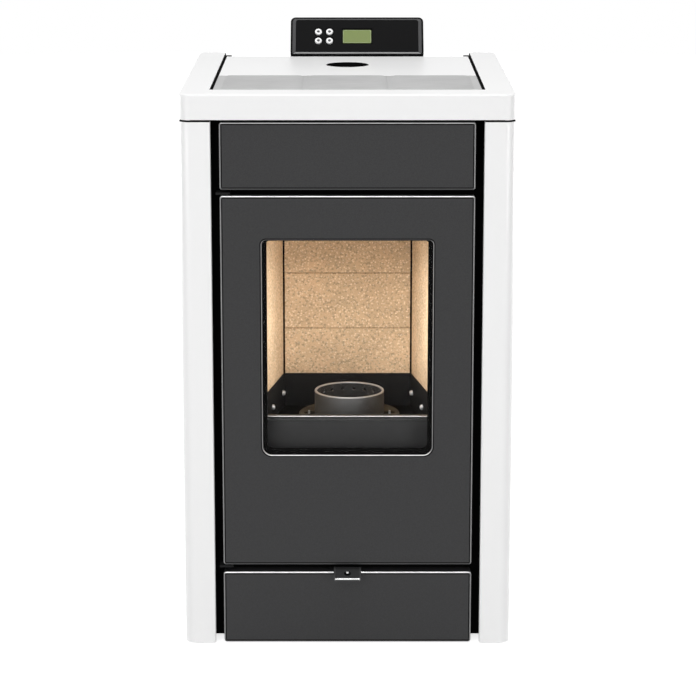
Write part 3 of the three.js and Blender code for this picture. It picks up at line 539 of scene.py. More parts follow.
def brushed(name, color, along, metallic, roughness):
    """Drawn steel: the grain runs along one axis, given as the stretch of the pattern."""
    look = Look(name, color, Metallic=metallic)
    grain = look.noise(1, 4, 0.6, stretch=along)
    cloud = look.noise(14, 2)
    tint = look.math("ADD", look.math("MULTIPLY", grain, 0.7), look.math("MULTIPLY", cloud, 0.3))
    return look.wear(
        Base_Color=look.mottled(tint, 0.32, 0.68, color, 0.84, 1.12),
        Roughness=look.remap(grain, 0.3, 0.7, roughness - 0.06, roughness + 0.08),
        Normal=look.bump(grain, 30 * MICRON, 0.5),
    )


def galvanised():
    """Zinc-coated sheet with its spangle of crystals."""
    color = (0.55, 0.56, 0.57)
    look = Look("zinc_plate", color, Metallic=0.85)
    spangle = look.cells(70, "Color")
    tone = look.add("SeparateXYZ", Vector=spangle).outputs["X"]
    return look.wear(
        Base_Color=look.mottled(tone, 0, 1, color, 0.8, 1.15),
        Roughness=look.remap(tone, 0, 1, 0.34, 0.5),
        Normal=look.bump(look.noise(300, 2), 30 * MICRON, 0.5),
    )


def vermiculite():
    """Pressed vermiculite board: pale flakes, dark pits and brown clouds on tan."""
    tint = (0.80, 0.59, 0.375)
    look = Look("vermiculite", tint, Specular_IOR_Level=0.15)
    cloud = look.noise(16, 4, 0.6)
    flakes = look.cells(240)
    pits = look.noise(260, 3, 0.6)
    base = look.mottled(cloud, 0.34, 0.66, tint, 0.8, 1.05)
    pale = look.blend(look.remap(flakes, 0.15, 0.42, 0.95, 0), base, (1.0, 0.82, 0.6))
    dark = look.blend(look.remap(pits, 0.53, 0.63, 0, 0.6), pale, shade(tint, 0.42))
    height = look.math("ADD", look.math("MULTIPLY", pits, -1.0), look.math("MULTIPLY", flakes, 0.6))
    return look.wear(
        Base_Color=dark,
        Roughness=look.remap(cloud, 0.3, 0.7, 0.86, 0.96),
        Normal=look.bump(height, 1100 * MICRON, 0.6),
    )


def cast_iron(name, color, soot, level):
    """Grey iron, sooted in clouds."""
    look = Look(name, color, Metallic=0.45, Specular_IOR_Level=level)
    cloud = look.noise(22, 4, 0.6)
    grain = look.noise(500, 3)
    return look.wear(
        Base_Color=look.blend(look.remap(cloud, 0.42, 0.68, 0, 1), color, soot),
        Roughness=look.remap(cloud, 0.35, 0.7, 0.58, 0.72),
        Normal=look.bump(grain, 80 * MICRON, 0.6),
    )


def moulded(name, color, roughness, level=0.35, texture=700):
    """Moulded plastic or rubber with a fine eroded texture."""
    look = Look(name, color, Specular_IOR_Level=level)
    cloud = look.noise(12, 2)
    return look.wear(
        Base_Color=look.mottled(cloud, 0.3, 0.7, color, 0.93, 1.07),
        Roughness=look.remap(cloud, 0.3, 0.7, roughness - 0.03, roughness + 0.04),
        Normal=look.bump(look.cells(texture), 30 * MICRON, 0.35),
    )


def lcd(name, color):
    """A green-grey liquid crystal panel with its faint grid of cells, unlit."""
    look = Look(name, color, Specular_IOR_Level=0.2)
    columns = look.add("TexWave", Vector=look.place, Scale=330.0)
    columns.bands_direction = "X"
    cloud = look.noise(40, 2)
    grid = look.math("MULTIPLY", columns.outputs["Fac"], 0.35)
    tint = look.math("ADD", grid, look.math("MULTIPLY", cloud, 0.65))
    return look.wear(
        Base_Color=look.mottled(tint, 0, 1, color, 0.92, 1.08),
        Roughness=look.remap(cloud, 0.3, 0.7, 0.16, 0.24),
    )


def circuit_board():
    """Green board with copper traces under the lacquer."""
    color = (0.02, 0.12, 0.05)
    look = Look("circuit_board", color)
    traces = look.cells(160, "Distance", (1, 3, 3))
    return look.wear(
        Base_Color=look.blend(look.remap(traces, 0.1, 0.16, 1, 0), color, (0.1, 0.2, 0.08)),
        Roughness=look.remap(traces, 0.1, 0.2, 0.3, 0.5),
    )


def braided_rope():
    """Dark glass-fibre rope."""
    color = (0.05, 0.048, 0.045)
    look = Look("gasket_rope", color, Sheen_Weight=0.3)
    fibres = look.noise(900, 3, 0.6)
    return look.wear(
        Base_Color=look.mottled(fibres, 0.35, 0.7, color, 0.5, 2.2),
        Roughness=look.remap(fibres, 0.3, 0.7, 0.85, 0.97),
        Normal=look.bump(fibres, 300 * MICRON, 0.6),
    )


def oven_glass():
    """Clear ceramic glass. Only a little of it shows: a faint film over what is behind."""
    look = Look("ceramic_glass", (0.08, 0.075, 0.07), Alpha=0.02, IOR=1.5)
    film = look.noise(7, 3)
    return look.wear(Roughness=look.remap(film, 0.3, 0.7, 0.04, 0.09))


COAT = (0.034, 0.034, 0.035)
LOOKS = {
    "enamel": enamel("enamel", 0.4, 0.15),
    "front_steel": powder("front_coat", COAT, 0.42),
    "black_steel": powder("black_coat", (0.0145, 0.0145, 0.0148), 0.6, 0.06),
    "grille_steel": brushed("grille_steel", (0.43, 0.43, 0.43), (30, 900, 900), 0.35, 0.42),
    "zinc": galvanised(),
    "iron": cast_iron("pot_iron", (0.17, 0.17, 0.168), (0.1, 0.097, 0.093), 0.35),
    "olive_steel": cast_iron("flange_steel", (0.115, 0.108, 0.082), (0.06, 0.055, 0.042), 0.3),
    "refractory": vermiculite(),
    "rope": braided_rope(),
    "rubber": moulded("rubber", (0.02, 0.02, 0.02), 0.8, 0.3, 400),
    "black_plastic": moulded("black_plastic", (0.0055, 0.0055, 0.0058), 0.4, 0.02),
    "button_plastic": moulded("button_plastic", (0.84, 0.84, 0.84), 0.35, 0.4),
    "display": lcd("lcd", (0.143, 0.195, 0.034)),
    "circuit_board": circuit_board(),
    "motor_steel": brushed("motor_steel", (0.3, 0.3, 0.31), (600, 600, 30), 0.8, 0.4),
    "glass": oven_glass(),
}
TOP_ENAMEL = enamel("top_enamel", 0.1, 0.3)
# painted highlight on the round edges of the dark sheets
PANEL_EDGE_HIGHLIGHT = painted_highlight_edge("panel_edge_painted_highlight", COAT, (0.86, 0.86, 0.86), 0.15, 0.5, 0.3)
CHAMBER_COAT = powder("chamber_coat", (0.044, 0.044, 0.0445), 0.5, 0.08)
# near-black painted shade: put on gap walls, recesses, undersides and cut edges where shade falls
PAINTED_SHADE = powder("painted_shade_black", (0.0022, 0.0022, 0.0023), 0.75, 0.03)
TAB_EDGE_HIGHLIGHT = painted_highlight_edge("tab_edge_painted_highlight", COAT, (0.86, 0.86, 0.86), 0.3, 0.7, 0.2)
TAB_RAIL_HIGHLIGHT = powder("tab_rail_painted_highlight", (0.075, 0.075, 0.076), 0.42)
SCREW = brushed("screw_steel", (0.9, 0.9, 0.9), (500, 500, 500), 0.25, 0.28)
BUTTON_CORE = moulded("button_core", (0.05, 0.05, 0.055), 0.5)
BEZEL_HIGHLIGHT = moulded("bezel_plastic_painted_highlight", (0.05, 0.05, 0.052), 0.4, 0.3)
BEZEL_EDGE_HIGHLIGHT = brushed("bezel_edge_painted_highlight", (0.36, 0.36, 0.36), (30, 600, 600), 0.3, 0.4)
LCD_RIM_HIGHLIGHT = lcd("lcd_rim_painted_highlight", (0.25, 0.31, 0.13))
POT_RIM = brushed("pot_rim", (0.5, 0.5, 0.5), (400, 400, 400), 0.4, 0.4)
POT_SOOT = cast_iron("pot_soot", (0.06, 0.06, 0.06), (0.035, 0.035, 0.035), 0.2)


# ---- white body
REAR_FOLD = 12
FRONT_FOLD = 14
CUT_EDGE = 0.8
REAR_BAR = 3  # thickness of the bar across the rear of the top
REAR_BAR_DROP = 17


def side_panels():
    """A sheet folded round the front column and at the rear. Its cut top is painted near-black as
    shade.
    """
    t = SHEET
    rear, fold = SIDE_REAR, REAR_FOLD
    section = filleted([
        (COLUMN_IN, 0, 2), (HALF, 0, CORNER_R), (HALF, rear, 1.2), (HALF - fold, rear, 0.6),
        (HALF - fold, rear - t, 0.4), (HALF - t, rear - t, 0.4), (HALF - t, t, CORNER_R - t),
        (COLUMN_IN + t, t, 0.4), (COLUMN_IN + t, FRONT_FOLD, 0.6), (COLUMN_IN, FRONT_FOLD, 0.6),
    ], 9)
    profile = slab_edge(COLUMN_Z[1], COLUMN_Z[0], CUT_EDGE, CUT_EDGE, 3)
    for name, loop in (("right", section), ("left", mirrored(section))):
        shape = Shape().plate(lying, loop, profile)
        # painted shade: the cut top is painted near-black
        shape.paint(1, lambda n, c: n.z > 0.97)
        shape.finish(name + "_side", "enamel", [name + "_side_panel"], [PAINTED_SHADE])


def top_frame():
    """A folded sheet round three sides of the opening, with a low bar across the rear."""
    right = [
        (HALF, 0, CORNER_R), (HALF, TOP_DEPTH, 10), (OPENING_X, TOP_DEPTH, 4),
        (OPENING_X, BAR_REAR, 1.5),
    ]
    outline = filleted(right + [(-x, y, radius) for x, y, radius in right[::-1]], 9)
    bottom = TOP_Z - LIP
    shape = Shape().plate(lying, outline, folded_edge(TOP_Z, bottom, 2.8, 3))
    bar = rounded(OPENING_X + 1, (TOP_DEPTH - REAR_BAR, TOP_DEPTH), 0.6, 3)
    shape.plate(lying, bar, slab_edge(TOP_Z - REAR_BAR_DROP, bottom, 0.5))
    front = FRONT / MM
    inside = OPENING_X + SHEET
    before_bar = front + TOP_DEPTH - REAR_BAR - 2
    # painted shade: the walls of the opening and the underside are painted near-black, but not the
    # lip's front face
    shape.paint(1, lambda n, c: abs(n.z) < 0.8 and abs(c.x) < inside and c.y < before_bar)
    shape.paint(0, lambda n, c: n.y < -0.5 and c.z > bottom + 1 and c.y < front + 1)
    shape.paint(1, lambda n, c: n.z < -0.95)
    shape.finish("top_surround", "enamel", ["top_frame"], [PAINTED_SHADE], TOP_ENAMEL)


LOUVRE_ROWS = 11
LOUVRE_X = (-124, 0, 124)
LOUVRE_HALF = 59
LOUVRE_RISE = 1.9
LOUVRE_END = 7  # length of each rounded end
LOUVRE_LENGTH = 6.4  # front to rear
LOUVRE_AHEAD = 3.6  # from its front to its slot's middle
LOUVRE_SHEET = 0.7
SLOT_AHEAD = 2.2
SLOT_BEHIND = 2.8


def hood(shape, x0, y0, z0):
    """A pressed louvre: closed towards the front and the ends, open to the rear."""
    across, deep = 26, 5  # facets
    rims = []
    for drop in (0, LOUVRE_SHEET):
        rows = []
        for j in range(deep + 1):
            v = j / deep
            y = y0 - LOUVRE_AHEAD + LOUVRE_LENGTH * v
            row = []
            for i in range(across + 1):
                u = 2 * i / across - 1
                end = min(1.0, (1 - abs(u)) * LOUVRE_HALF / LOUVRE_END)
                lift = LOUVRE_RISE * math.sin(end * math.pi / 2) * math.sin(v * math.pi / 2)
                row.append(lying(x0 + u * LOUVRE_HALF, y, z0 + lift - drop))
            rows.append(shape.ring(row))
        for j in range(deep):
            shape.bridge(rows[j], rows[j + 1], closed=False)
        right = [row[-1] for row in rows[1:]]
        left = [row[0] for row in rows[-2:0:-1]]
        rims.append(rows[0] + right + rows[-1][-2::-1] + left)
    shape.bridge(*rims)


def grille():
    """A plate with three columns of slots, each under its louvre."""
    pitch = (GRILLE_Y[1] - GRILLE_Y[0]) / (LOUVRE_ROWS + 1)
    depths = [GRILLE_Y[0] + row * pitch for row in range(1, LOUVRE_ROWS + 1)]
    places = [(x, depth) for depth in depths for x in LOUVRE_X]
    through = [(0, PLATE_Z[1]), (0, PLATE_Z[0])]
    half = LOUVRE_HALF - 3
    slots = []
    for x, depth in places:
        loop = rounded((x - half, x + half), (depth - SLOT_AHEAD, depth + SLOT_BEHIND), 1.5, 3)
        slots.append((loop, through))
    outline = rounded(PLATE_X, GRILLE_Y, 1.5, 3)
    shape = Shape().plate(lying, outline, slab_edge(PLATE_Z[1], PLATE_Z[0], 0.8), slots)
    for x, depth in places:
        hood(shape, x, depth, PLATE_Z[1])
    shape.finish("louvred_grille", "grille_steel", ["top_grille"], sharp=50)


SKIRT_X = (184.5, 187)
SKIRT_Y = (252, 254.5)
SKIRT_REAR = 450
SKIRT_DROP = 8
EAR_X = (178.5, 181.5)
EAR_HALF = 9


def lid():
    """A plate with a finger hole, stiffened by a skirt, on two hinge ears."""
    outline = rounded(PLATE_X, LID_Y, 2, 4)
    mouth = circle((0, FINGER_Y), FINGER_R, 72)
    edge = slab_edge(PLATE_Z[1], PLATE_Z[0], 1.1)
    shape = Shape().plate(lying, outline, edge, [(mouth, edge)])
    root = PLATE_Z[0] + 0.5  # a little way into the plate
    skirt = slab_edge(PLATE_Z[0] - SKIRT_DROP, root, 0.4)
    shape.plate(lying, rounded(SKIRT_X[0] + 1.5, SKIRT_Y, 0.5, 2), skirt)
    depth, z = LID_AXIS
    ear = filleted([
        (depth - EAR_HALF, z - 8, 6), (depth + EAR_HALF, z - 8, 6), (depth + EAR_HALF, root, 0),
        (depth - EAR_HALF, root, 0),
    ])
    eye = circle(LID_AXIS, 3.3, 24)
    for sign in (-1, 1):
        across = sorted(sign * x for x in SKIRT_X)
        shape.plate(lying, rounded(across, (SKIRT_Y[0], SKIRT_REAR), 0.5, 2), skirt)
        low, high = sorted(sign * x for x in EAR_X)
        shape.plate(sideways, ear, slab_edge(high, low, 0.4), [(eye, [(0, high), (0, low)])])
    shape.finish("lid_plate", "enamel", ["hopper_lid"], look=TOP_ENAMEL, body="lid")
    outer, inner = FINGER_R - 0.1, FINGER_R - 1.9
    low, high = PLATE_Z[1] - 14, PLATE_Z[1] + 0.3
    liner = [
        (outer, low), (outer, high - 0.7), (outer - 0.5, high), (inner + 0.5, high),
        (inner, high - 0.7), (inner, low),
    ]
    ring = Shape().lathe(shifted(lying, 0, FINGER_Y), liner, 72)
    ring.finish("finger_ring", "black_plastic", body="lid")


# ---- control panel
FACE_MARGIN = 3.1
FACE_W = -0.7  # the face's height on the slope
FACE_BACK = -2.2
BAND = 5.2  # width of the raised band at the sides
KEY_WELL_R = 7.5
MASK_HALF = 96
MASK_V = (14, 64)
MASK_W = (-2.3, -2.9)
LCD_W = (-1.6, -7.4)


def lcd_outline(margin, radius, steps=6):
    up = (LCD_V[0] - margin, LCD_V[1] + margin)
    return rounded(LCD_HALF + margin, up, radius, steps)


def control_housing():
    """A wedge: rings out of its sloping face, then back to its flat rear."""
    top = CONTROL_FOOT[1] + CONTROL_LENGTH * math.cos(CONTROL_LEAN) - 1.7
    low = CONTROL_FOOT[1] - 17

    def outline(by, bottom, height):
        half = CONTROL_HALF - by
        radii = tuple(max(0.5, r - by) for r in (3, 3, 8, 8))
        return rounded(half, (bottom + by, height - by), radii)

    rings = []
    for by, w in (
        (7, -12), (7, FACE_BACK), (FACE_MARGIN, FACE_BACK), (1.2, -0.7), (0.5, -0.9), (0.1, -1.6),
        (0, -2.8),
    ):
        rings.append(laid(on_slope, outline(by, 0, CONTROL_LENGTH), w))
    for by, ahead in ((0, 2), (0.6, 0.6), (2, 0)):
        loop = outline(by, low, top)
        rings.append(laid(shifted(facing, CONTROL_X, 0), loop, CONTROL_BACK - ahead))
    shape = Shape().block([rings], [()])
    shape.finish("control_case", "black_plastic", ["control_housing"])


def control_face():
    """A raised band, sloping outwards, round a face that lies a little lower."""
    half = CONTROL_HALF - FACE_MARGIN
    outer = rounded(half, (FACE_MARGIN, CONTROL_LENGTH - 2.2), (2, 2, 6, 6), 7)
    band = rounded(half - BAND, (4.9, CONTROL_LENGTH - 6), (1.5, 1.5, 3.5, 3.5), 7)
    keys = [(u, v) for u in BUTTON_U for v in BUTTON_V]
    holes = [circle(key, KEY_WELL_R, 48) for key in keys] + [lcd_outline(2, 1.5, 4)]
    rim = [
        (inset(band, 0.5), FACE_W), (inset(band, 0.3), 0), (band, 0), (outer, -1.7),
        (outer, FACE_BACK),
    ]
    well = [(0.5, FACE_W), (0.1, FACE_W - 0.2), (0, FACE_W - 0.5), (0, FACE_BACK)]
    stacks = [[laid(on_slope, loop, w) for loop, w in rim]]
    for hole in holes:
        stacks.append([laid(on_slope, inset(hole[::-1], by), w) for by, w in well])
    # the sloping band is in a lighter plastic, a painted highlight of its bevel
    shape = Shape().block(stacks, [(0, 0, 1)] + [()] * len(holes))
    low_edge = CONTROL_FOOT[1] + 8
    # painted highlight: the band's lowest front faces are a light steel colour
    shape.paint(2, lambda n, c: n.y < -0.9 and n.z < 0.3 and c.z < low_edge)
    shape.finish("control_fascia", "black_plastic", ["control_face"], [BEZEL_HIGHLIGHT, BEZEL_EDGE_HIGHLIGHT])

    sheet = [(0, w) for w in MASK_W]
    windows = [(circle(key, BUTTON_R + 0.25, 40), sheet) for key in keys]
    windows.append((lcd_outline(0.2, 1), sheet))
    shape = Shape().plate(on_slope, rounded(MASK_HALF, MASK_V, 3), sheet, windows)
    shape.finish("keypad_mask", "black_plastic")

    edge = [(1.4, LCD_W[0] - 0.2), (1.3, LCD_W[0])] + slab_edge(*LCD_W, 0.5)
    # the display's edge is a lighter green, a painted highlight
    shape = Shape().plate(on_slope, lcd_outline(0, 1.6), edge, marks=(1,) * 5)
    shape.finish("lcd_panel", "display", ["display"], [LCD_RIM_HIGHLIGHT])


def control_buttons():
    """Round keys with a dark dimple, each on a stem, numbered from the top left."""
    core, r = 2.3, BUTTON_R
    profile = [
        (0, -0.5), (core - 0.4, -0.5), (core - 0.1, -0.3), (core, 0), (core + 0.4, 0.2),
        (r - 0.7, 0.2), (r - 0.3, 0), (r, -0.5), (r, -4.4), (2, -4.4), (2, -6.2), (0, -6.2),
    ]
    dimple = 3  # steps of the profile
    indices = [1] * dimple + [0] * (len(profile) - dimple)
    for k, (v, u) in enumerate([(v, u) for v in BUTTON_V for u in BUTTON_U], 1):
        shape = Shape().lathe(shifted(on_slope, u, v), profile, 48, indices)
        node, body = f"button_{k}", f"key_{k}"
        shape.finish(f"key_cap_{k}", "button_plastic", [node], [BUTTON_CORE], body=body)


# ---- dark front
def front_panels():
    """Folded sheets, each with a fine groove along its edge; the door's has the window."""
    marks = (2, 2, 2, 0, 1, 1, 1, 1, 1)  # the groove painted near-black as shade, a flat, then the round edge with its painted highlight
    window = rounded(WINDOW_X, WINDOW_Z, (13, 13, 6, 6), 10)
    inner = grooved(front_round(PANEL_FRONT, DOOR_BACK, 1.4)) + [(0, PANEL_FRONT + SHEET)]
    for name, body, node, z, back, holes in (
        ("upper_front", "chassis", "upper_panel", UPPER_Z, PANEL_BACK, []),
        ("door_front", "door", "door_panel", DOOR_Z, DOOR_BACK, [(window, inner)]),
        ("drawer_face", "drawer", "drawer_front", LOWER_Z, PANEL_BACK - 0.2, []),
    ):
        outline = rounded(PANEL_X, z, PANEL_R)
        edge = grooved(folded_edge(PANEL_FRONT, back))
        shape = Shape().plate(facing, outline, edge, holes, marks)
        shape.finish(name, "front_steel", [node], [PANEL_EDGE_HIGHLIGHT, PAINTED_SHADE], body=body)


def on_tab(a, b, along):
    """Across, back and up on the pull tab, which slopes down towards its front edge."""
    return at(a, b, LOWER_Z[1] + 0.3 + (b - PANEL_FRONT) * TAB_SLOPE + along)


RAIL = 2.4  # width of a raised side
SHANK_R = 2
SHANK_END = 101
NUT_Z = (105.9, 102.6)


def pull_tab():
    """A plate with raised sides and a rolled front edge behind a groove, and its screw."""
    front, rear = TAB_Y
    half, thick = TAB_HALF, TAB_THICK
    shape = Shape()
    base = rounded(half - 0.5, (front + 1.6, rear), (4, 4, 1, 1), 8)
    shape.plate(on_tab, base, slab_edge(1.4, 0, 0.4))
    top = rounded(half - 0.2, (front + 4.6, rear), 0.8, 3)
    shape.plate(on_tab, top, slab_edge(thick, 1, 0.4))
    roll = rounded(half - 1, (front, front + 4), 1.9, 6)
    # the rolled edge takes a painted highlight where it faces up
    shape.plate(on_tab, roll, slab_edge(thick + 0.8, -0.2, 1.8, 1.6), marks=(1,) * 8)
    for sign in (-1, 1):
        across = sorted((sign * (half - RAIL), sign * half))
        rail = rounded(across, (front + 3.4, rear), 0.9, 3)
        # the raised sides are in a lighter copy of the coat, a painted highlight
        shape.plate(on_tab, rail, slab_edge(thick + 0.6, 0, 0.9), marks=(2,) * 5)
    shape.finish("pull_tab", "front_steel", ["drawer_tab"], [TAB_EDGE_HIGHLIGHT, TAB_RAIL_HIGHLIGHT], body="drawer")

    head = LOWER_Z[1] + 2.1
    # a near-black washer under the screw head paints the screw's shadow
    ring = circle((0, TAB_SCREW_Y - 1.2), 5, 36)
    shadow_washer = Shape().plate(on_tab, ring, slab_edge(thick + 0.5, thick - 0.2, 0.3))
    shadow_washer.finish("tab_washer_painted_shadow", "rubber", look=PAINTED_SHADE, body="drawer")
    under = at(0, TAB_SCREW_Y, head)
    cross_screw("tab_cross_screw", under, Vector((0, 0, 1)), 4, 2.2, ["tab_screw"], "drawer")
    shank = rod(SHANK_R, head + 0.2, SHANK_END)
    nut = Shape().lathe(shifted(lying, 0, TAB_SCREW_Y), shank, 24)
    nut.plate(lying, circle((0, TAB_SCREW_Y), 4.4, 6), slab_edge(*NUT_Z, 0.3))
    nut.finish("tab_nut", "zinc", look=SCREW, body="drawer")


def cross_screw(name, centre, out, radius, height, replaces=(), body="chassis"):
    """A pan-head screw with a cross recess, standing out of a surface."""
    lay = out_of(centre, out)
    arm, wide = radius * 0.62, radius * 0.17
    cross = []
    for c, s in ((1, 0), (0, 1), (-1, 0), (0, -1)):
        for a, b in ((wide, wide), (arm, wide), (arm, -wide)):
            cross.append(Vector((a * c + b * s, a * s - b * c)))
    cross.sort(key=lambda p: math.atan2(p.y, p.x))
    walls = [(0.1, height), (0, height - 0.15), (0, height * 0.35)]
    edge = slab_edge(height, 0, height * 0.75)
    shape = Shape().plate(lay, circle((0, 0), radius, 36), edge, [(cross, walls)])
    shape.plate(lay, circle((0, 0), radius * 0.9, 36), [(0, height * 0.3), (0, 0.05)])
    shape.finish(name, "zinc", replaces, look=SCREW, body=body)


# ---- fire chamber
TRAY_SHEET = 1.8
BOARD_GAP = 2.4  # from the tray to a side board
TILE_GAP = 2.5
ASH_SLOT_HALF = 60
ASH_SLOT_Y = (55, 90)
CHUTE_HALF = 32
CHUTE_Z = (564, 614)
BAFFLE_HALF = 103


def wall_x(depth):
    """Half the tray's inner width."""
    return LINING_HALF + (LINING_BACK - depth) * SPLAY


def lining():
    """Three tiles at the back, two splayed boards at the sides, a sloping baffle on top."""
    depth = LINING_BACK + TILE_GAP
    edge = slab_edge(depth, depth + BOARD, 0.9, 0.6, 3)
    chute = rounded(CHUTE_HALF, CHUTE_Z, 2, 3)
    half = LINING_HALF - 0.4
    for i in range(3):
        outline = rounded(half, (TILE_SEAMS[i] + 0.3, TILE_SEAMS[i + 1] - 0.3), 0.8, 3)
        shape = Shape().plate(facing, outline, edge, [(chute, edge)] if i == 2 else [])
        shape.finish(f"vermiculite_tile_{i + 1}", "refractory", [f"back_tile_{i + 1}"])
    far = depth - 0.3
    near_x, far_x = wall_x(TRAY_FRONT) + BOARD_GAP, wall_x(far) + BOARD_GAP
    section = filleted([
        (near_x, TRAY_FRONT, 0.8), (near_x + BOARD, TRAY_FRONT, 0.8), (far_x + BOARD, far, 0.8),
        (far_x, far, 0.6),
    ], 3)
    edge = slab_edge(TILE_SEAMS[3], TRAY_FLOOR, 0.8, 0.6, 3)
    for name, loop in (("right", section), ("left", mirrored(section))):
        shape = Shape().plate(lying, loop, edge)
        shape.finish(name + "_board", "refractory", ["side_board_" + name])
    baffle = filleted([(50, 622, 1), (215, 590, 1), (218, 604, 1), (53, 636, 1)], 3)
    shape = Shape().plate(sideways, baffle, slab_edge(BAFFLE_HALF, -BAFFLE_HALF, 0.8, 0.8, 3))
    shape.finish("smoke_baffle", "refractory", ["baffle"])


def tray():
    """A thin sheet box, open to the front, with holes for the pot and the ash."""
    t, edge = TRAY_SHEET, 0.5
    near, far = TRAY_FRONT, LINING_BACK
    near_x, far_x = wall_x(near), wall_x(far)
    floor_loop = filleted([
        (-near_x, near, 0.5), (near_x, near, 0.5), (far_x, far, 0.5), (-far_x, far, 0.5),
    ], 2)
    through = [(0, TRAY_FLOOR + t), (0, TRAY_FLOOR)]
    mouth = (circle(POT, FLANGE_R - 8, 64), through)
    slot = (rounded(ASH_SLOT_HALF, ASH_SLOT_Y, 4), through)
    sheet = slab_edge(TRAY_FLOOR + t, TRAY_FLOOR, edge)
    shape = Shape().plate(lying, floor_loop, sheet, [mouth, slot])
    back = rounded(far_x + t, (TRAY_FLOOR, TRAY_TOP), 0.8, 2)
    shape.plate(facing, back, slab_edge(far, far + t, edge))
    end = far + t / 2
    end_x = wall_x(end)
    wall = filleted([
        (near_x, near, 0.3), (near_x + t, near, 0.3), (end_x + t, end, 0.3), (end_x, end, 0.3),
    ], 2)
    for loop in (mirrored(wall), wall):
        shape.plate(lying, loop, slab_edge(TRAY_TOP, TRAY_FLOOR, edge))
    # painted shade: the tray's floor is painted near-black
    shape.paint(1, lambda n, c: n.z > 0.8 and c.z < TRAY_FLOOR + 5)
    shape.finish("ash_tray_box", "black_steel", ["fire_tray"], [PAINTED_SHADE])
    inwards = Vector((1, SPLAY, 0)).normalized()
    places = [(depth, z, sign) for depth, z in ((232, 326), (152, 323)) for sign in (-1, 1)]
    for k, (depth, z, sign) in enumerate(places, 1):
        out = Vector((-sign * inwards.x, -inwards.y, 0))
        cross_screw(f"tray_screw_{k}", at(sign * wall_x(depth), depth, z), out, 4.2, 4.2)


def fender():
    """A dark plate with a rolled top edge, painted bright as a highlight, over a fine groove."""
    low, high = FENDER_Z
    front, rear = FENDER_Y
    nose = arc((front + 1, high - FENDER_ROLL), FENDER_ROLL, 90, 160, 8)
    lip = [
        (front, low), (front + SHEET, low), (front + SHEET, high - SHEET), (rear, high - SHEET),
        (rear, high - 0.3), (rear - 0.3, high),
    ]
    groove = [(front + 1.2, high - 3.6), (front + 1.2, high - 5), (front, high - 5.4)]
    section = [Vector(p) for p in lip] + nose + [Vector(p) for p in groove]
    shape = Shape().plate(sideways, section, slab_edge(FENDER_HALF, -FENDER_HALF, 0.5))
    # painted highlight on the rolled top edge
    shape.paint(1, lambda n, c: n.y < -0.2 and n.z > 0.05 and abs(n.x) < 0.1)
    shape.finish("fender_plate", "black_steel", ["fender"], [PANEL_EDGE_HIGHLIGHT], CHAMBER_COAT)


POT_STEP = 6  # from the wall in to the part below the flange
GRATE = 4
GRATE_RING = 22  # radius of the ring of holes in the grate
AIR_HOLE_R = 2.7


def burn_pot():
    """The cup with its rolled rim, its row of air holes and the holes in its grate."""
    r, bore = POT_R, POT_BORE
    seat = FLANGE_TOP + 0.3
    low = r - POT_STEP
    base, grate = POT_BOTTOM, POT_BOTTOM + GRATE
    lip = (r - bore) / 2
    rim = arc((r - lip, POT_TOP - lip), lip, 0, 180, 10)
    outside = [
        (0, base), (low - 3, base), (low - 0.9, base + 0.9), (low, base + 3), (low, seat),
        (r - 0.6, seat), (r, seat + 0.6),
    ]
    inside = [
        (bore, seat + 6), (low - 3, seat + 3), (low - 3, grate + 1), (low - 5, grate), (0, grate),
    ]
    profile = outside + [(p.x, p.y) for p in rim] + inside
    indices = [0] * len(outside) + [1] * (len(rim) - 1) + [2] * (len(inside) + 1)
    shape = Shape().lathe(shifted(lying, *POT), profile, 96, indices)
    pot = shape.finish("pot_cup", "iron", ["burn_pot"], [POT_RIM, POT_SOOT], body="pot")
    holes = Shape()
    for degrees in POT_HOLES:
        angle = math.radians(degrees)
        out = Vector((math.cos(angle), math.sin(angle), 0))
        centre = at(*POT, POT_TOP - 10.5) + out * (r - 2) * MM
        holes.lathe(out_of(centre, out), rod(AIR_HOLE_R, -6, 6), 20)
    for i in range(6):
        angle = math.radians(60 * i)
        x, y = GRATE_RING * math.cos(angle), GRATE_RING * math.sin(angle)
        holes.lathe(shifted(lying, POT[0] + x, POT[1] + y), rod(3, base - 2, grate + 3), 20)
    cut(pot, holes)


def cut(piece, holes):
    """Subtracts a shape from a finished piece."""
    cutter = holes.placed("cutter")
    boolean = piece.modifiers.new("Holes", "BOOLEAN")
    boolean.object = cutter
    boolean.operation = "DIFFERENCE"
    boolean.solver = "EXACT"
    weighted = piece.modifiers["Weighted normals"]
    weighted.show_viewport = False
    bpy.context.view_layer.update()
    evaluated = piece.evaluated_get(bpy.context.evaluated_depsgraph_get())
    made = bpy.data.meshes.new_from_object(evaluated)
    piece.modifiers.remove(boolean)
    weighted.show_viewport = True
    piece.data = made
    made.set_sharp_from_angle(angle=math.radians(SHARP))
    bpy.data.objects.remove(cutter)


NOTCH_R = 8
NOTCH_X = 61


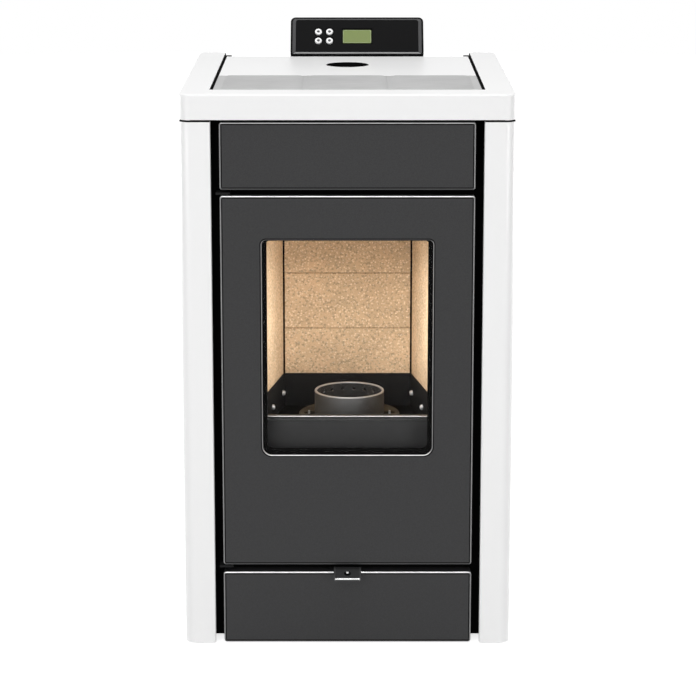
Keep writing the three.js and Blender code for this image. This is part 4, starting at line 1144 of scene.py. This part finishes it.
def flange():
    """The plate round the pot, with a keyhole notch at each side of the cup."""
    bore = POT_R - POT_STEP + 1.5
    bottom = FLANGE_TOP - 3
    notch = math.degrees(math.asin(NOTCH_R / bore))
    loop = []
    for start, x in ((180, NOTCH_X), (0, -NOTCH_X)):
        loop += arc(POT, bore, start + notch, 180 - 2 * notch, 30)
        loop += arc((POT[0] + x, POT[1]), NOTCH_R, start + 90, 180, 10)
    through = [(0.3, FLANGE_TOP), (0, FLANGE_TOP - 0.3), (0, bottom)]
    outline = circle(POT, FLANGE_R, 96)
    edge = slab_edge(FLANGE_TOP, bottom, 0.7)
    shape = Shape().plate(lying, outline, edge, [(loop, through)])
    shape.finish("pot_plate", "olive_steel", ["pot_flange"])
    top, low = FLANGE_TOP + 3, TRAY_FLOOR + 1
    stud = [(0, top), (1.2, top), (1.6, top - 0.4), (1.6, low), (0, low)]
    for name, x in (("left", -NOTCH_X), ("right", NOTCH_X)):
        shape = Shape().lathe(shifted(lying, POT[0] + x, POT[1] + 2), stud, 24)
        shape.finish(f"pot_stud_{name}", "zinc", look=SCREW)


ROPE_X = 146.5
ROPE_Z = (254.5, 646.5)
ROPE_DEPTH = 23.7
ROPE_STEP = 2.4  # length of one step of the braid


def gasket():
    """A braided rope round the door's inner face."""
    loop = []
    outline = rounded(ROPE_X, ROPE_Z, 11, 10)
    for i, p in enumerate(outline):
        after = outline[(i + 1) % len(outline)]
        pieces = max(1, round((after - p).length / ROPE_STEP))
        loop += [p.lerp(after, k / pieces) for k in range(pieces)]
    path = []
    for i, p in enumerate(loop):
        way = (loop[(i + 1) % len(loop)] - loop[i - 1]).normalized()
        out = Vector((way.y, 0, -way.x))
        path.append((facing(p.x, p.y, ROPE_DEPTH), out, Vector((0, 1, 0))))

    def section(k):
        points = []
        for s in range(16):
            angle = 2 * math.pi * s / 16
            twist = 1.05 * k
            strand = 1 + 0.07 * math.sin(4 * angle + twist) + 0.05 * math.sin(4 * angle - twist)
            points.append((5.2 * strand * math.cos(angle), 3.8 * strand * math.sin(angle)))
        return points

    shape = Shape().sweep(path, section)
    shape.finish("rope_seal", "rope", ["door_gasket"], body="door", sharp=80)


# ---- back
FLUE = (-95, 172)
FLUE_R = 40.3
FLUE_BORE = 37
FLUE_Y = (541, 596)
INTAKE = (0, 281)
INTAKE_Y = (226.5, 300, 575)  # front end, step, rear end
BACK_FACE = 542


def back_fittings():
    """The sleeve on the flue, the air intake and the screws of the back panel."""
    r, bore = FLUE_R, FLUE_BORE
    start, end = FLUE_Y
    sleeve = [
        (r, start), (r, end - 7), (r + 0.9, end - 6), (r + 1.3, end - 4.5), (r + 0.9, end - 3),
        (r, end - 2), (r, end - 0.6), (r - 0.6, end), (bore + 0.6, end), (bore, end - 0.6),
        (bore, start),
    ]
    shape = Shape().lathe(shifted(facing, *FLUE), sleeve, 96)
    shape.finish("flue_collar", "iron")
    narrow, wide, wall = 17.5, 25, 2
    start, step, end = INTAKE_Y
    pipe = [
        (narrow - wall, start), (narrow, start), (narrow, step), (wide, step + 12),
        (wide, end - 0.6), (wide - 0.6, end), (wide - 1.6, end), (wide - wall, end - 0.6),
        (wide - wall, step + 13), (narrow - wall, step + 1),
    ]
    shape = Shape().lathe(shifted(facing, *INTAKE), pipe, 72)
    shape.finish("intake_pipe", "zinc", ["air_intake_pipe"])
    places = [(x, z) for x in (-228, 0, 228) for z in (22, 400, 764) if (x, z) != (0, 400)]
    for k, (x, z) in enumerate(places, 1):
        cross_screw(f"back_screw_{k}", at(x, BACK_FACE, z), Vector((0, 1, 0)), 3.8, 2.2)


# ---- carried-over nodes
# these parts take the near-black painted shade instead of their own finish
SHADED = ("front_frame", "top_cradle", "glass_retainer")  # black parts that only show in gaps


def carried_nodes():
    """CAD nodes that keep their shape: broken edges, and their own finish or, for SHADED, the
    near-black painted shade.
    """
    for name, node in frame["nodes"].items():
        if node.hide_render:
            continue
        slot = node.data.materials[0].name.split(".")[0]
        node.data.materials[0] = PAINTED_SHADE if name in SHADED else LOOKS[slot]
        node.modifiers.new("Weld", "WELD").merge_threshold = 0.02 * MM
        bevel = node.modifiers.new("Broken edges", "BEVEL")
        bevel.width = 0.4 * MM
        bevel.segments = 2
        bevel.limit_method = "ANGLE"
        bevel.angle_limit = math.radians(40)


# ---- studio
EYE = (0.8, -3600, 1256.9)
EYE_TILT = 12.649  # degrees below level
LENS = 132.206
AMBIENT = 0.25
NEAR_GLOW = 0.8  # the floor's own white close to the object, under its shadow
FLOOR_R = 8
FADE = (0.6, 2.0)  # metres out, where the floor's white rises to full


def camera():
    """In front of the columns, looking slightly down."""
    data = bpy.data.cameras.new("camera")
    data.sensor_width = 36
    data.lens = LENS
    eye = linked("camera", data)
    eye.location = at(*EYE)
    eye.rotation_euler = (math.radians(90 - EYE_TILT), 0, 0)
    bpy.context.scene.camera = eye


def lamp(name, place, target, size, watts, spread=180):
    """A rectangular lamp, which the camera doesn't see."""
    data = bpy.data.lights.new(name, "AREA")
    data.shape = "RECTANGLE"
    data.size, data.size_y = size
    data.energy = watts
    data.spread = math.radians(spread)
    holder = linked(name, data)
    holder.location = place
    holder.rotation_euler = (Vector(target) - Vector(place)).to_track_quat("-Z", "Y").to_euler()
    holder.visible_camera = False


def seen_directly(nodes):
    """1 for rays from the camera and for reflected and refracted ones, 0 for light."""
    rays = nodes.add("LightPath").outputs
    seen = nodes.math("MAXIMUM", rays["Is Camera Ray"], rays["Is Glossy Ray"])
    return nodes.math("MAXIMUM", seen, rays["Is Transmission Ray"])


def world():
    """White where it is seen, and a plain dim light."""
    made = bpy.data.worlds.new("studio")
    nodes = Nodes(made)
    strength = nodes.remap(seen_directly(nodes), 0, 1, AMBIENT, 1)
    nodes.set(nodes.tree.nodes["Background"], {"Color": (1, 1, 1, 1), "Strength": strength})
    bpy.context.scene.world = made


def floor():
    """A pale floor that takes the object's shadow and otherwise runs into the white."""
    shape = Shape()
    bmesh.ops.create_circle(shape.mesh, cap_ends=True, segments=64, radius=FLOOR_R)
    ground = shape.placed("studio_floor")
    made = bpy.data.materials.new("studio_floor")
    ground.data.materials.append(made)
    nodes = Nodes(made)
    nodes.tree.nodes.remove(nodes.tree.nodes["Principled BSDF"])
    away = nodes.add("VectorMath", Vector=nodes.add("TexCoord").outputs["Object"])
    away.operation = "LENGTH"
    lift = nodes.remap(away.outputs["Value"], *FADE, NEAR_GLOW, 1)
    glow = nodes.add("Emission", Strength=nodes.math("MULTIPLY", lift, seen_directly(nodes)))
    paper = nodes.add("BsdfDiffuse", Color=(0.75, 0.75, 0.75, 1))
    both = nodes.add("AddShader")
    nodes.put(both.inputs[0], paper.outputs[0])
    nodes.put(both.inputs[1], glow.outputs[0])
    nodes.set(nodes.tree.nodes["Material Output"], {"Surface": both.outputs[0]})


def studio():
    camera()
    world()
    floor()
    centre = (0, 0, 0.42)
    lamp("key", (-1.3, -3.6, 2.3), centre, (1.4, 1.4), 26)
    lamp("top", (0, -0.4, 3.2), (0, 0, 0.8), (1.8, 1.8), 45)
    lamp("chamber", at(0, 50, 440), at(0, 250, 430), (0.2, 0.1), 0.085, 105)
    for side, front_watts in ((-1, 48), (1, 58)):
        lamp("front", (2.9 * side, -3.3, 0.45), centre, (1.6, 1.6), front_watts)
        lamp("rear", (3.2 * side, 1.8, 0.45), centre, (1.6, 0.8), 36)
        lamp("chamber side", at(0, 80, 475), at(100 * side, 100, 445), (0.08, 0.19), 0.118, 120)
    bpy.context.scene.view_settings.view_transform = "Standard"


studio()
side_panels()
top_frame()
grille()
lid()
control_housing()
control_face()
control_buttons()
front_panels()
pull_tab()
lining()
tray()
fender()
burn_pot()
flange()
gasket()
back_fittings()
carried_nodes()


def corners(box):
    return [list(box[0]), list(box[1])]
